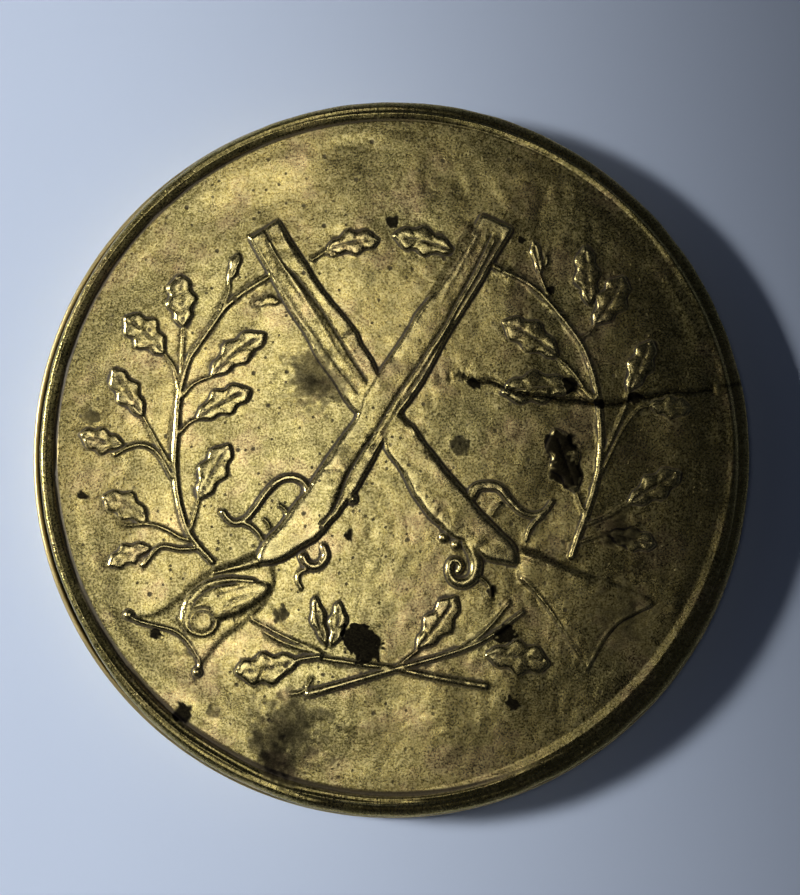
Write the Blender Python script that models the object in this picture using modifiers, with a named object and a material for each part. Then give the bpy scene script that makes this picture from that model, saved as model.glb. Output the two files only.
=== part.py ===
"""Stamped brass shooting medal, 40 mm across.

A thin brass face, struck with two crossed target rifles in an oak wreath, closes into the upturned
lip of a shallow brass back, over a disc of pasteboard packing. The medal lies on its back: +Z points
out of the struck face, +Y to the top of the design, and the origin is the middle of the flat back.
Everything is modelled in metres; lengths here are written in millimetres and multiplied by MM.
"""

import math

import bmesh
import bpy
from mathutils import Vector

MM = 0.001

# Driving dimensions, in millimetres.
OUTER_RADIUS = 20.0
SHEET = 0.4
LIP_WALL = 0.3
LIP_HEIGHT = 1.1
BACK_CORNER = 0.45
CLEARANCE = 0.08
FIELD_RADIUS = 18.5
FIELD_EDGE_HEIGHT = 2.5
DOME_RISE = 0.32
GROOVE_DEPTH = 0.2
GROOVE_WIDTH = 0.45
RIM_HEIGHT = 2.7
SHOULDER_RADIUS = 0.42
TURN_STEPS = 64

# The die was set a little off the middle of the blank, and its design fills the field.
DIE_SHIFT = (0.10, 0.18)
DIE_SCALE = 0.99

# Relief: how far each kind of motif stands above the field, and how deep its root sits in the sheet.
ROOT_DEPTH = 0.18
LEAF_HEIGHT = 0.20
LEAF_SHOULDER = 0.14
LOWER_BARREL_HEIGHT = 0.27
UPPER_BARREL_HEIGHT = 0.34
LOWER_RAMROD_HEIGHT = 0.18
UPPER_RAMROD_HEIGHT = 0.26
STOCK_HEIGHT = 0.38
BARREL_SHOULDER = 0.22
RAMROD_SHOULDER = 0.16
STOCK_SHOULDER = 0.34
CHEEK_SHOULDER = 0.24
BUTT_SHOULDER = 0.16
CHEEK_HEIGHT = 0.27
BUTT_HEIGHT = 0.14
STEM_RADIUS = 0.21
TWIG_RADIUS = 0.15

# Finishes: base colour, roughness, metallic.
FACE_BRASS = ((0.40, 0.30, 0.10, 1.0), 0.42, 1.0)
BACK_BRASS = ((0.46, 0.34, 0.12, 1.0), 0.36, 1.0)
PASTEBOARD = ((0.42, 0.31, 0.19, 1.0), 0.9, 0.0)

# Oak leaves: foot, tip and width, each on the die's own plan.
LEAVES = (
    # left branch
    ((-11.9, 6.8), (-12.1, 9.9), 1.8),
    ((-12.9, 5.5), (-15.1, 7.6), 2.0),
    ((-14.0, 1.9), (-15.8, 4.6), 1.6),
    ((-15.1, 0.5), (-17.4, 1.0), 1.5),
    ((-10.3, 4.2), (-7.3, 6.6), 1.7),
    ((-11.1, 1.8), (-8.1, 3.5), 1.7),
    ((-10.9, -2.7), (-9.2, 0.4), 1.8),
    ((-13.7, -3.9), (-16.2, -2.4), 1.8),
    ((-13.4, -5.3), (-15.9, -6.4), 1.3),
    ((-8.2, 8.0), (-6.4, 8.5), 0.7),
    ((-9.4, 9.6), (-8.8, 11.2), 0.7),
    # head of the wreath
    ((-3.9, 11.3), (-1.0, 12.0), 1.5),
    ((3.3, 11.3), (-0.1, 12.2), 1.6),
    # right branch
    ((8.15, 10.0), (7.8, 11.9), 0.8),
    ((10.9, 8.2), (10.7, 11.6), 1.5),
    ((11.2, 7.3), (12.8, 9.9), 1.9),
    ((9.1, 5.4), (6.1, 7.3), 1.9),
    ((10.0, 3.8), (6.0, 3.4), 2.0),
    ((10.1, -2.2), (8.9, 1.3), 1.8),
    ((13.2, 3.5), (14.4, 6.3), 1.5),
    ((14.2, 2.7), (16.5, 2.5), 1.4),
    ((13.0, -2.8), (15.9, -1.0), 1.7),
    ((11.9, -4.5), (14.5, -5.1), 1.4),
    # crossed sprigs at the foot
    ((-5.4, -11.6), (-8.8, -12.2), 1.9),
    ((-3.8, -10.8), (-4.4, -8.1), 1.0),
    ((-3.6, -10.8), (-3.1, -8.4), 1.1),
    ((1.2, -11.0), (3.3, -8.1), 1.8),
    ((5.0, -11.3), (8.6, -11.8), 2.0),
)

# Stems and twigs: the radius and the middle line of each.
STEMS = (
    (STEM_RADIUS, ((-10.2, -6.1), (-11.5, -4.5), (-12.2, -2.0), (-12.3, 0.5), (-12.1, 3.2),
                   (-11.5, 5.2), (-10.2, 7.2), (-8.8, 8.8), (-7.1, 9.8))),
    (STEM_RADIUS, ((9.9, -5.7), (10.7, -3.3), (11.3, -1.2), (11.5, 1.0), (11.3, 3.4),
                   (10.6, 5.8), (9.2, 7.8), (7.9, 9.2), (6.2, 10.1))),
    (STEM_RADIUS, ((-4.8, -13.4), (0.0, -12.0), (3.0, -11.2), (5.0, -10.4), (7.1, -8.9))),
    (STEM_RADIUS, ((5.0, -13.0), (0.0, -12.0), (-4.1, -11.5))),
    (TWIG_RADIUS, ((-4.1, -11.4), (-5.6, -10.5), (-8.0, -9.3))),
    (TWIG_RADIUS, ((-12.1, 3.8), (-11.95, 5.4), (-11.85, 7.2))),
    (TWIG_RADIUS, ((-12.1, 3.8), (-12.5, 5.0), (-13.2, 5.8))),
    (TWIG_RADIUS, ((-12.4, -0.9), (-13.3, 0.7), (-14.2, 2.2))),
    (TWIG_RADIUS, ((-12.5, -1.3), (-13.6, 0.2), (-14.5, 0.45), (-15.6, 0.3))),
    (TWIG_RADIUS, ((-11.8, 3.3), (-10.9, 4.0), (-9.8, 4.6))),
    (TWIG_RADIUS, ((-12.2, 0.9), (-11.3, 1.7), (-10.4, 2.2))),
    (TWIG_RADIUS, ((-11.5, -4.5), (-11.1, -3.4), (-10.7, -2.3))),
    (TWIG_RADIUS, ((-11.4, -4.8), (-12.6, -4.4), (-14.2, -3.7))),
    (TWIG_RADIUS, ((-11.0, -5.3), (-12.6, -5.2), (-14.0, -5.6))),
    (TWIG_RADIUS, ((-9.7, 8.1), (-9.35, 9.1), (-9.2, 10.1))),
    (TWIG_RADIUS, ((8.5, 9.0), (8.15, 9.9), (8.0, 10.6))),
    (TWIG_RADIUS, ((10.3, 6.2), (11.1, 7.0), (11.6, 7.9))),
    (TWIG_RADIUS, ((11.0, 3.4), (10.0, 4.5), (8.7, 5.8))),
    (TWIG_RADIUS, ((11.3, 3.2), (10.3, 3.7), (9.2, 3.7))),
    (TWIG_RADIUS, ((10.6, -3.6), (10.3, -2.8), (10.0, -1.7))),
    (TWIG_RADIUS, ((12.2, 0.3), (13.0, 2.4), (13.4, 4.0))),
    (TWIG_RADIUS, ((11.5, -0.9), (12.9, 1.9), (14.8, 2.7))),
    (TWIG_RADIUS, ((10.7, -4.0), (12.3, -3.3), (13.6, -2.4))),
    (TWIG_RADIUS, ((10.4, -4.8), (11.4, -4.6), (12.6, -4.6))),
    (TWIG_RADIUS, ((0.4, -11.7), (1.2, -11.0), (1.8, -10.2))),
    (TWIG_RADIUS, ((-4.6, 10.8), (-3.9, 11.3), (-3.1, 11.5))),
)

# The two rifles, the upper one running up to the right. Each plate of a rifle is its height above the
# field, the width of its sloping shoulder, and its outline.
UPPER_RIFLE = (
    (UPPER_BARREL_HEIGHT, BARREL_SHOULDER,
     ((4.6, 13.2), (3.1, 10.4), (1.2, 7.9), (-0.6, 5.0), (-1.95, 2.9), (-3.7, -0.1), (-5.0, -2.1),
      (-3.2, -2.6), (-1.6, 0.4), (0.2, 3.2), (1.9, 5.8), (4.4, 10.1), (5.9, 12.9))),
    (UPPER_RAMROD_HEIGHT, RAMROD_SHOULDER,
     ((5.7, 12.9), (4.2, 9.9), (1.8, 5.9), (0.0, 3.2), (-3.3, -2.6), (-2.4, -2.5), (0.3, 2.1),
      (2.4, 5.4), (5.2, 10.2), (6.5, 12.6))),
    (STOCK_HEIGHT, STOCK_SHOULDER,
     ((-3.9, -0.9), (-5.0, -2.1), (-6.5, -4.1), (-7.6, -5.3), (-7.7, -6.1), (-6.7, -6.2), (-5.2, -5.4),
      (-4.0, -4.4), (-3.1, -3.0), (-2.8, -1.4))),
)
LOWER_RIFLE = (
    (LOWER_BARREL_HEIGHT, BARREL_SHOULDER,
     ((-8.2, 11.9), (-6.9, 12.9), (-5.9, 10.4), (-4.0, 7.9), (-2.5, 5.6), (-0.9, 3.9), (1.0, 1.5),
      (2.8, -0.9), (4.6, -3.2), (2.7, -4.2), (1.3, -2.9), (-0.5, 0.0), (-2.1, 2.8), (-4.4, 5.4),
      (-6.0, 8.1))),
    (LOWER_RAMROD_HEIGHT, RAMROD_SHOULDER,
     ((-7.1, 12.7), (-6.4, 10.9), (-4.2, 7.9), (-2.6, 5.6), (-1.3, 4.0), (-0.8, 4.4), (-2.0, 6.4),
      (-4.6, 10.0), (-6.5, 13.1))),
    (STOCK_HEIGHT, STOCK_SHOULDER,
     ((0.9, -2.0), (1.9, -3.6), (3.1, -4.7), (5.0, -5.9), (6.6, -6.2), (6.85, -5.7), (6.4, -4.9),
      (4.8, -3.2), (3.2, -1.4), (1.8, -0.9))),
)

# Butt ends: the same on both rifles but for the side they lie on.
BUTT_OUTLINE = ((-7.4, -5.7), (-9.9, -6.3), (-11.6, -7.8), (-13.0, -8.9), (-14.7, -9.2), (-13.4, -9.7),
                (-12.1, -10.3), (-11.4, -11.1), (-10.8, -12.0), (-9.8, -10.8), (-8.2, -9.3), (-7.0, -7.8),
                (-6.9, -6.6))
CHEEK_MIDDLE = (-9.45, -8.35)
CHEEK_LENGTH = 5.4
CHEEK_WIDTH = 2.3
CHEEK_SLANT = math.radians(24.0)
BUTT_PLATE = (0.2, ((-14.8, -9.2), (-13.4, -9.7), (-12.1, -10.25), (-11.4, -11.0), (-10.9, -12.1)))
BUTT_HORNS = (((-14.85, -9.05), 0.34), ((-10.95, -12.2), 0.34))
GUARD = (0.24, ((-4.9, -2.3), (-5.2, -1.65), (-6.1, -1.5), (-7.0, -2.1), (-7.9, -3.4), (-8.8, -3.95),
                (-9.6, -3.4)))
GUARD_TAIL = (0.18, ((-8.7, -3.9), (-8.0, -4.2), (-7.3, -4.9)))
HAMMER = (0.34, ((-5.1, -5.8), (-4.7, -6.3), (-4.1, -6.2), (-3.7, -5.6)))
HAMMER_TAIL = (0.16, ((-4.8, -6.6), (-5.35, -6.9), (-5.2, -7.6)))
FURNITURE = (GUARD, GUARD_TAIL, HAMMER, HAMMER_TAIL)
# The lower rifle's furniture lies a little further in than a true mirror image would.
FURNITURE_SHIFT = (-0.7, 0.0)

LEAF_STEPS = 10
LEAF_LOBES = 3.0
CHEEK_STEPS = 16
STEM_SPANS = 2
STEM_SIDES = 1
HORN_STEPS = 8


def clear_scene():
    """Removes whatever the scene holds."""
    for thing in list(bpy.data.objects):
        bpy.data.objects.remove(thing)


def new_collection(name):
    """A collection linked under the scene's own."""
    made = bpy.data.collections.new(name)
    bpy.context.scene.collection.children.link(made)
    return made


def principled(name, finish):
    """A Principled material of one colour, roughness and metallic value."""
    colour, roughness, metallic = finish
    material = bpy.data.materials.new(name)
    material.use_nodes = True
    shader = material.node_tree.nodes["Principled BSDF"]
    shader.inputs["Base Color"].default_value = colour
    shader.inputs["Roughness"].default_value = roughness
    shader.inputs["Metallic"].default_value = metallic
    material.diffuse_color = colour
    return material


def field_height(radius):
    """Height of the struck field over the flat back: a shallow dome, highest in the middle."""
    share = min(radius / FIELD_RADIUS, 1.0)
    return FIELD_EDGE_HEIGHT + DOME_RISE * (1.0 - share * share)


def arc(middle, radius, start, end, steps):
    """Points along an arc of a turned profile, from one angle to another, in degrees."""
    points = []
    for i in range(steps + 1):
        angle = math.radians(start + (end - start) * i / steps)
        points.append((middle[0] + radius * math.cos(angle), middle[1] + radius * math.sin(angle)))
    return points


def turned(name, profile, collection, material):
    """An object turned round Z from a profile that starts and ends on the axis."""
    mesh = bpy.data.meshes.new(name)
    shape = bmesh.new()
    corners = [shape.verts.new((r * MM, 0.0, z * MM)) for r, z in profile]
    for first, second in zip(corners, corners[1:]):
        shape.edges.new((first, second))
    shape.to_mesh(mesh)
    shape.free()
    thing = bpy.data.objects.new(name, mesh)
    collection.objects.link(thing)
    screw = thing.modifiers.new("turn", "SCREW")
    screw.steps = TURN_STEPS
    screw.render_steps = TURN_STEPS
    screw.use_merge_vertices = True
    screw.merge_threshold = 0.01 * CLEARANCE * MM
    screw.use_smooth_shade = True
    mesh.materials.append(material)
    return thing


def on_die(point):
    """A point of the die's plan, placed on the blank."""
    return Vector((point[0] * DIE_SCALE + DIE_SHIFT[0], point[1] * DIE_SCALE + DIE_SHIFT[1]))


def settle(shape):
    """Lowers a motif built on a flat plan onto the domed field, and scales it to metres."""
    for corner in shape.verts:
        corner.co.z += field_height(math.hypot(corner.co.x, corner.co.y))
    bmesh.ops.scale(shape, vec=(MM, MM, MM), verts=shape.verts)


def relief_object(name, shape, collection):
    """Turns a settled shape into an object of the relief collection, hidden from renders."""
    settle(shape)
    bmesh.ops.recalc_face_normals(shape, faces=shape.faces)
    mesh = bpy.data.meshes.new(name)
    shape.to_mesh(mesh)
    shape.free()
    thing = bpy.data.objects.new(name, mesh)
    thing.hide_render = True
    thing.display_type = "WIRE"
    collection.objects.link(thing)


def raised_plate(name, outline, height, shoulder, collection):
    """A plate of the relief: an outline raised above the field, with a sloping shoulder."""
    shape = bmesh.new()
    bmesh.ops.create_circle(shape, cap_ends=True, segments=len(outline), radius=1.0)
    shape.verts.ensure_lookup_table()
    for corner, point in zip(shape.verts, outline):
        place = on_die(point)
        corner.co = (place.x, place.y, -ROOT_DEPTH)
    raised = bmesh.ops.extrude_face_region(shape, geom=list(shape.faces), use_keep_orig=True)
    top = [item for item in raised["geom"] if isinstance(item, bmesh.types.BMVert)]
    bmesh.ops.translate(shape, vec=(0.0, 0.0, height + ROOT_DEPTH), verts=top)
    lifted = set(top)
    crest = [edge for edge in shape.edges if edge.verts[0] in lifted and edge.verts[1] in lifted]
    bmesh.ops.bevel(shape, geom=crest, offset=shoulder, affect="EDGES", segments=1, profile=0.5,
                    material=-1, clamp_overlap=True)
    relief_object(name, shape, collection)


def leaf_outline(foot, tip, width):
    """A lobed oak leaf from its foot to its tip, as one closed outline."""
    foot = Vector(foot)
    along = Vector(tip) - foot
    across = Vector((-along.y, along.x)).normalized()
    sides = ([], [])
    for i in range(1, LEAF_STEPS):
        share = i / LEAF_STEPS
        swell = math.sin(math.pi * share ** 1.15) ** 0.7
        lobe = 1.0 - 0.16 * math.cos(2.0 * math.pi * LEAF_LOBES * share)
        half = 0.5 * width * swell * lobe
        sides[0].append(foot + along * share + across * half)
        sides[1].append(foot + along * share - across * half)
    return [foot] + sides[0] + [foot + along] + sides[1][::-1]


def smooth_route(points):
    """More points along a route, on a smooth curve through the given ones."""
    ends = [Vector(p) for p in points]
    padded = [ends[0] * 2.0 - ends[1]] + ends + [ends[-1] * 2.0 - ends[-2]]
    route = []
    for a, b, c, d in zip(padded, padded[1:], padded[2:], padded[3:]):
        for i in range(STEM_SPANS):
            t = i / STEM_SPANS
            route.append(0.5 * (2.0 * b + (c - a) * t + (2.0 * a - 5.0 * b + 4.0 * c - d) * t * t
                                + (3.0 * b - a - 3.0 * c + d) * t * t * t))
    route.append(ends[-1])
    return route


def raised_wire(name, radius, points, collection):
    """A half-round ridge of the relief, such as a stem, made from a round curve sunk to its middle."""
    curve = bpy.data.curves.new(name, "CURVE")
    curve.dimensions = "3D"
    curve.bevel_depth = radius
    curve.bevel_resolution = STEM_SIDES
    curve.use_fill_caps = True
    route = smooth_route(points)
    spline = curve.splines.new("POLY")
    spline.points.add(len(route) - 1)
    for node, point in zip(spline.points, route):
        place = on_die(point)
        node.co = (place.x, place.y, 0.0, 1.0)
    drawn = bpy.data.objects.new(name, curve)
    collection.objects.link(drawn)
    graph = bpy.context.evaluated_depsgraph_get()
    mesh = bpy.data.meshes.new_from_object(drawn.evaluated_get(graph))
    bpy.data.objects.remove(drawn)
    shape = bmesh.new()
    shape.from_mesh(mesh)
    bpy.data.meshes.remove(mesh)
    bmesh.ops.remove_doubles(shape, verts=shape.verts, dist=0.01 * radius)
    relief_object(name, shape, collection)


def raised_ball(name, middle, radius, collection):
    """The round end of a butt plate's horn."""
    shape = bmesh.new()
    bmesh.ops.create_uvsphere(shape, u_segments=HORN_STEPS, v_segments=HORN_STEPS // 2, radius=radius)
    place = on_die(middle)
    bmesh.ops.translate(shape, vec=(place.x, place.y, 0.0), verts=shape.verts)
    relief_object(name, shape, collection)


def cheek_outline():
    """The oval cheek piece of the butt."""
    points = []
    for i in range(CHEEK_STEPS):
        angle = 2.0 * math.pi * i / CHEEK_STEPS
        x = 0.5 * CHEEK_LENGTH * math.cos(angle)
        y = 0.5 * CHEEK_WIDTH * math.sin(angle)
        points.append((CHEEK_MIDDLE[0] + x * math.cos(CHEEK_SLANT) - y * math.sin(CHEEK_SLANT),
                       CHEEK_MIDDLE[1] + x * math.sin(CHEEK_SLANT) + y * math.cos(CHEEK_SLANT)))
    return points


def mirrored(points, shift=(0.0, 0.0)):
    """The same points on the other side of the medal, moved by a shift."""
    return [(-x + shift[0], y + shift[1]) for x, y in points]


def strike_relief(collection):
    """Every raised motif of the die, as closed solids rooted in the sheet."""
    for name, rifle in (("upper", UPPER_RIFLE), ("lower", LOWER_RIFLE)):
        for i, (height, shoulder, outline) in enumerate(rifle):
            raised_plate(f"{name}_rifle_{i}", outline, height, shoulder, collection)
    butt = BUTT_OUTLINE
    cheek = cheek_outline()
    raised_plate("upper_butt", butt, BUTT_HEIGHT, BUTT_SHOULDER, collection)
    raised_plate("lower_butt", mirrored(butt), BUTT_HEIGHT, BUTT_SHOULDER, collection)
    raised_plate("upper_cheek", cheek, CHEEK_HEIGHT, CHEEK_SHOULDER, collection)
    raised_plate("lower_cheek", mirrored(cheek), CHEEK_HEIGHT, CHEEK_SHOULDER, collection)
    radius, points = BUTT_PLATE
    raised_wire("upper_butt_plate", radius, points, collection)
    raised_wire("lower_butt_plate", radius, mirrored(points), collection)
    for i, (radius, points) in enumerate(FURNITURE):
        raised_wire(f"upper_furniture_{i}", radius, points, collection)
        raised_wire(f"lower_furniture_{i}", radius, mirrored(points, FURNITURE_SHIFT), collection)
    for i, (middle, radius) in enumerate(BUTT_HORNS):
        raised_ball(f"upper_horn_{i}", middle, radius, collection)
        raised_ball(f"lower_horn_{i}", mirrored([middle])[0], radius, collection)
    for i, (foot, tip, width) in enumerate(LEAVES):
        raised_plate(f"leaf_{i}", leaf_outline(foot, tip, width), LEAF_HEIGHT, LEAF_SHOULDER, collection)
    for i, (radius, points) in enumerate(STEMS):
        raised_wire(f"stem_{i}", radius, points, collection)


def face_profile():
    """The face shell's section: domed field, groove, rolled rim and skirt, then back under the sheet."""
    skirt = OUTER_RADIUS - LIP_WALL - CLEARANCE
    groove = FIELD_RADIUS + 0.5 * GROOVE_WIDTH
    foot = SHEET + CLEARANCE
    roll = (skirt - SHOULDER_RADIUS, RIM_HEIGHT - SHOULDER_RADIUS)
    field = [0.0, 0.33 * FIELD_RADIUS, 0.6 * FIELD_RADIUS, 0.82 * FIELD_RADIUS, FIELD_RADIUS]
    top = [(r, field_height(r)) for r in field]
    top.append((groove, FIELD_EDGE_HEIGHT - GROOVE_DEPTH))
    top += arc(roll, SHOULDER_RADIUS, 100.0, 0.0, 5)
    top.append((skirt, foot))
    under = [(skirt - SHEET, foot)]
    under += arc(roll, SHOULDER_RADIUS - SHEET, 0.0, 90.0, 1)
    under.append((groove, FIELD_EDGE_HEIGHT - GROOVE_DEPTH - SHEET))
    under += [(r, field_height(r) - SHEET) for r in field[::-1]]
    return top + under


def back_profile():
    """The back shell's section: flat back, rounded corner and upturned lip, highest point first."""
    inner = OUTER_RADIUS - LIP_WALL
    bead = 0.5 * LIP_WALL
    corner = (OUTER_RADIUS - BACK_CORNER, BACK_CORNER)
    inside = [(0.0, SHEET), (inner, SHEET)]
    lip = arc((inner + bead, LIP_HEIGHT - bead), bead, 180.0, 0.0, 4)
    outside = arc(corner, BACK_CORNER, 0.0, -90.0, 4)
    return inside + lip + outside + [(0.0, 0.0)]


def packing_profile():
    """The packing disc's section: flat below, crowned like the face above."""
    edge = FIELD_RADIUS - SHEET
    lift = SHEET + CLEARANCE
    rings = [0.0, 0.4 * edge, 0.75 * edge, edge]
    crown = [(r, field_height(r) - lift) for r in rings]
    return crown + [(edge, lift), (0.0, lift)]


def main():
    """Builds the medal's three pieces."""
    clear_scene()
    pieces = new_collection("shooting_medal")
    relief = new_collection("struck_relief")
    relief.hide_render = True

    face = turned("face_shell", face_profile(), pieces, principled("face_brass", FACE_BRASS))
    strike_relief(relief)
    strike = face.modifiers.new("strike", "BOOLEAN")
    strike.operation = "UNION"
    strike.operand_type = "COLLECTION"
    strike.collection = relief
    strike.solver = "EXACT"

    turned("packing_disc", packing_profile(), pieces, principled("pasteboard", PASTEBOARD))
    turned("back_shell", back_profile(), pieces, principled("back_brass", BACK_BRASS))


if __name__ == "__main__":
    main()
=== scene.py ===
"""Visual model of a stamped brass shooting medal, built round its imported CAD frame.

The face is a thin brass sheet struck with two crossed target rifles in an oak wreath. It closes into
the upturned lip of a shallow brass back, over a disc of pasteboard packing. The struck surface is
worked out on a fine raster of the die, then carried by a mesh that is dense where the relief is.
Lengths are in millimetres unless a name says otherwise, and MM turns them into metres.
"""

from __future__ import annotations

import logging
import math
from dataclasses import dataclass, field
from enum import Enum
from typing import Sequence, Union

import bmesh
import bpy
import numpy as np
from mathutils import Matrix, Vector


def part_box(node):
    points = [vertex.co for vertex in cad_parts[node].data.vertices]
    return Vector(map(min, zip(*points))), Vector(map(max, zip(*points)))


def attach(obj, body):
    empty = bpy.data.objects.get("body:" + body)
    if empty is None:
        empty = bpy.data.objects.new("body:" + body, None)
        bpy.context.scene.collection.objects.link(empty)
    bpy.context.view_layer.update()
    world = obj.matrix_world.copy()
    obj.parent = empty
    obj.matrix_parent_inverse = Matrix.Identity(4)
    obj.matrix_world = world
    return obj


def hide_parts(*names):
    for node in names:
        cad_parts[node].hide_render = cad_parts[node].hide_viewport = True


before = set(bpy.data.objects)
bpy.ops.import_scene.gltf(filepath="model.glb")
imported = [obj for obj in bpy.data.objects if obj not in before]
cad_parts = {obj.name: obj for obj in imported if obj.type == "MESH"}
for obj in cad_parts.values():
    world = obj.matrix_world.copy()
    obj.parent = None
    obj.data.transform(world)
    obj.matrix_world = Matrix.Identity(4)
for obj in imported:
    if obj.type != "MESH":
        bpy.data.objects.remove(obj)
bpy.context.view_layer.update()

MM = 0.001
MERGE_WITHIN = 0.002
LOG = logging.getLogger("medal")

Point = tuple[float, float]
Colour = tuple[float, float, float]

# The die's drawing fills the field at this scale, struck a little off the middle of the blank.
DIE_SCALE = 0.99
DIE_SHIFT = (0.10, 0.18)


# ---------------------------------------------------------------------------------------------
# Shapes on the die
# ---------------------------------------------------------------------------------------------


def eased(values: np.ndarray, low: float, high: float) -> np.ndarray:
    """Takes values through a smooth step.

    Args:
        values: The values.
        low: Where the step starts, at 0.
        high: Where it ends, at 1.

    Returns:
        The step's height at each value.
    """
    share = np.clip((values - low) / (high - low), 0.0, 1.0)
    return share * share * (3.0 - 2.0 * share)


def bell(values: np.ndarray, width: float) -> np.ndarray:
    """A bell curve, 1 where the values are 0."""
    return np.exp(-((values / width) ** 2))


def smooth_route(points: Sequence[Point], spans: int = 8, closed: bool = False) -> np.ndarray:
    """Runs a smooth curve through points.

    Args:
        points: The points that the curve passes through.
        spans: How many steps the curve takes between two of them.
        closed: Whether the curve returns to its first point.

    Returns:
        The curve's points, one per row.
    """
    knots = np.array(points, float)
    if closed:
        padded = np.vstack([knots[-1:], knots, knots[:2]])
    else:
        padded = np.vstack([2 * knots[:1] - knots[1:2], knots, 2 * knots[-1:] - knots[-2:-1]])
    steps = (np.arange(spans) / spans)[:, None]
    pieces = []
    for a, b, c, d in zip(padded, padded[1:], padded[2:], padded[3:]):
        bend = (2 * a - 5 * b + 4 * c - d) * steps**2 + (3 * b - a - 3 * c + d) * steps**3
        pieces.append(0.5 * (2 * b + (c - a) * steps + bend))
    if not closed:
        pieces.append(knots[-1:])
    return np.vstack(pieces)


def from_route(route: np.ndarray, x: np.ndarray, y: np.ndarray) -> tuple[np.ndarray, np.ndarray]:
    """Measures every place against a route.

    Args:
        route: The route's points, one per row.
        x: Places across the die.
        y: Places up the die.

    Returns:
        The distance from the route, and the share of its length at the nearest point.
    """
    best = np.full(x.shape, np.inf)
    along = np.zeros(x.shape)
    lengths = np.linalg.norm(np.diff(route, axis=0), axis=1)
    starts = np.concatenate([[0.0], np.cumsum(lengths)])
    for start, end, length, before in zip(route, route[1:], lengths, starts):
        run = (end - start) / max(length, 1e-9)
        t = np.clip((x - start[0]) * run[0] + (y - start[1]) * run[1], 0.0, length)
        gap = np.hypot(x - start[0] - run[0] * t, y - start[1] - run[1] * t)
        nearer = gap < best
        best = np.where(nearer, gap, best)
        along = np.where(nearer, (before + t) / starts[-1], along)
    return best, along


def inside_outline(outline: np.ndarray, x: np.ndarray, y: np.ndarray) -> np.ndarray:
    """Finds which places lie inside a closed outline, by counting crossings.

    Args:
        outline: The outline's corners, one per row.
        x: Places across the die.
        y: Places up the die.

    Returns:
        True at each place that lies inside.
    """
    within = np.zeros(x.shape, bool)
    for (ax, ay), (bx, by) in zip(outline, np.roll(outline, -1, axis=0)):
        if ay == by:
            continue
        crosses = (ay > y) != (by > y)
        within ^= crosses & (x < (bx - ax) * (y - ay) / (by - ay) + ax)
    return within


class Section(Enum):
    """The cross-section of a raised bar or ridge."""

    ROUND = "round"
    FLAT = "flat"
    CREST = "crest"

    def across(self, share: np.ndarray) -> np.ndarray:
        """Gives the section's height across the bar.

        Args:
            share: Distance from the middle, as a share of the bar's half width.

        Returns:
            The height, from 1 in the middle to 0 where share reaches 1.
        """
        share = np.clip(np.abs(share), 0.0, 1.0)
        if self is Section.ROUND:
            return np.sqrt(1.0 - share**2)
        if self is Section.FLAT:
            return eased(1.0 - share, 0.0, 0.45)
        return 1.0 - share**1.3


@dataclass
class Die:
    """The die's face as square rasters over its plan: heights, grime and stains, with one painted shadow
    among the stains.
    """

    reach: float = 18.9
    pitch: float = 0.04

    def __post_init__(self) -> None:
        """Lays out the empty rasters."""
        self.count = int(round(2 * self.reach / self.pitch)) + 1
        self.axis = np.linspace(-self.reach, self.reach, self.count)
        self.height = np.zeros((self.count, self.count))
        self.stain_and_shadow = np.zeros_like(self.height)
        self.crack = np.zeros_like(self.height)

    def window(self, low: Sequence[float], high: Sequence[float]) -> tuple:
        """Opens the part of the raster between two corners.

        Args:
            low: The lower left corner.
            high: The upper right corner.

        Returns:
            The slices of the raster, and the x and y of its cells.
        """
        spans = []
        for a, b in zip(low, high):
            first = max(0, int((a + self.reach) / self.pitch))
            last = min(self.count, int((b + self.reach) / self.pitch) + 2)
            spans.append(slice(first, max(first, last)))
        x, y = np.meshgrid(self.axis[spans[0]], self.axis[spans[1]], indexing="ij")
        return tuple(spans), x, y

    def raise_to(self, place: tuple, heights: np.ndarray) -> None:
        """Raises the cells of a window to at least these heights."""
        self.height[place] = np.maximum(self.height[place], heights)

    def blurred(self, values: np.ndarray, spread: float) -> np.ndarray:
        """Softens a raster.

        Args:
            values: The raster.
            spread: The bell curve's spread.

        Returns:
            The softened raster.
        """
        across = np.fft.fftfreq(self.count, self.pitch)[:, None]
        up = np.fft.rfftfreq(self.count, self.pitch)[None, :]
        kept = np.exp(-2.0 * (math.pi * spread) ** 2 * (across**2 + up**2))
        return np.fft.irfft2(np.fft.rfft2(values) * kept, s=values.shape)

    def rolling(self, seed: int, finest: float, coarsest: float) -> np.ndarray:
        """Makes seeded waviness.

        Args:
            seed: What the noise starts from.
            finest: Size of the finest features that are left.
            coarsest: Size of the coarsest.

        Returns:
            A raster with a spread of 1 about 0.
        """
        noise = np.random.default_rng(seed).standard_normal((self.count, self.count))
        band = self.blurred(noise, finest) - self.blurred(noise, coarsest)
        return band / band.std()

    def read(self, values: np.ndarray, x: np.ndarray, y: np.ndarray) -> np.ndarray:
        """Reads a raster between its cells.

        Args:
            values: The raster.
            x: Places across the die.
            y: Places up the die.

        Returns:
            The raster's value at each place.
        """
        i = np.clip((x + self.reach) / self.pitch, 0.0, self.count - 1.001)
        j = np.clip((y + self.reach) / self.pitch, 0.0, self.count - 1.001)
        i0, j0 = i.astype(int), j.astype(int)
        u, v = i - i0, j - j0
        low = values[i0, j0] * (1 - u) + values[i0 + 1, j0] * u
        high = values[i0, j0 + 1] * (1 - u) + values[i0 + 1, j0 + 1] * u
        return low * (1 - v) + high * v


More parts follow.
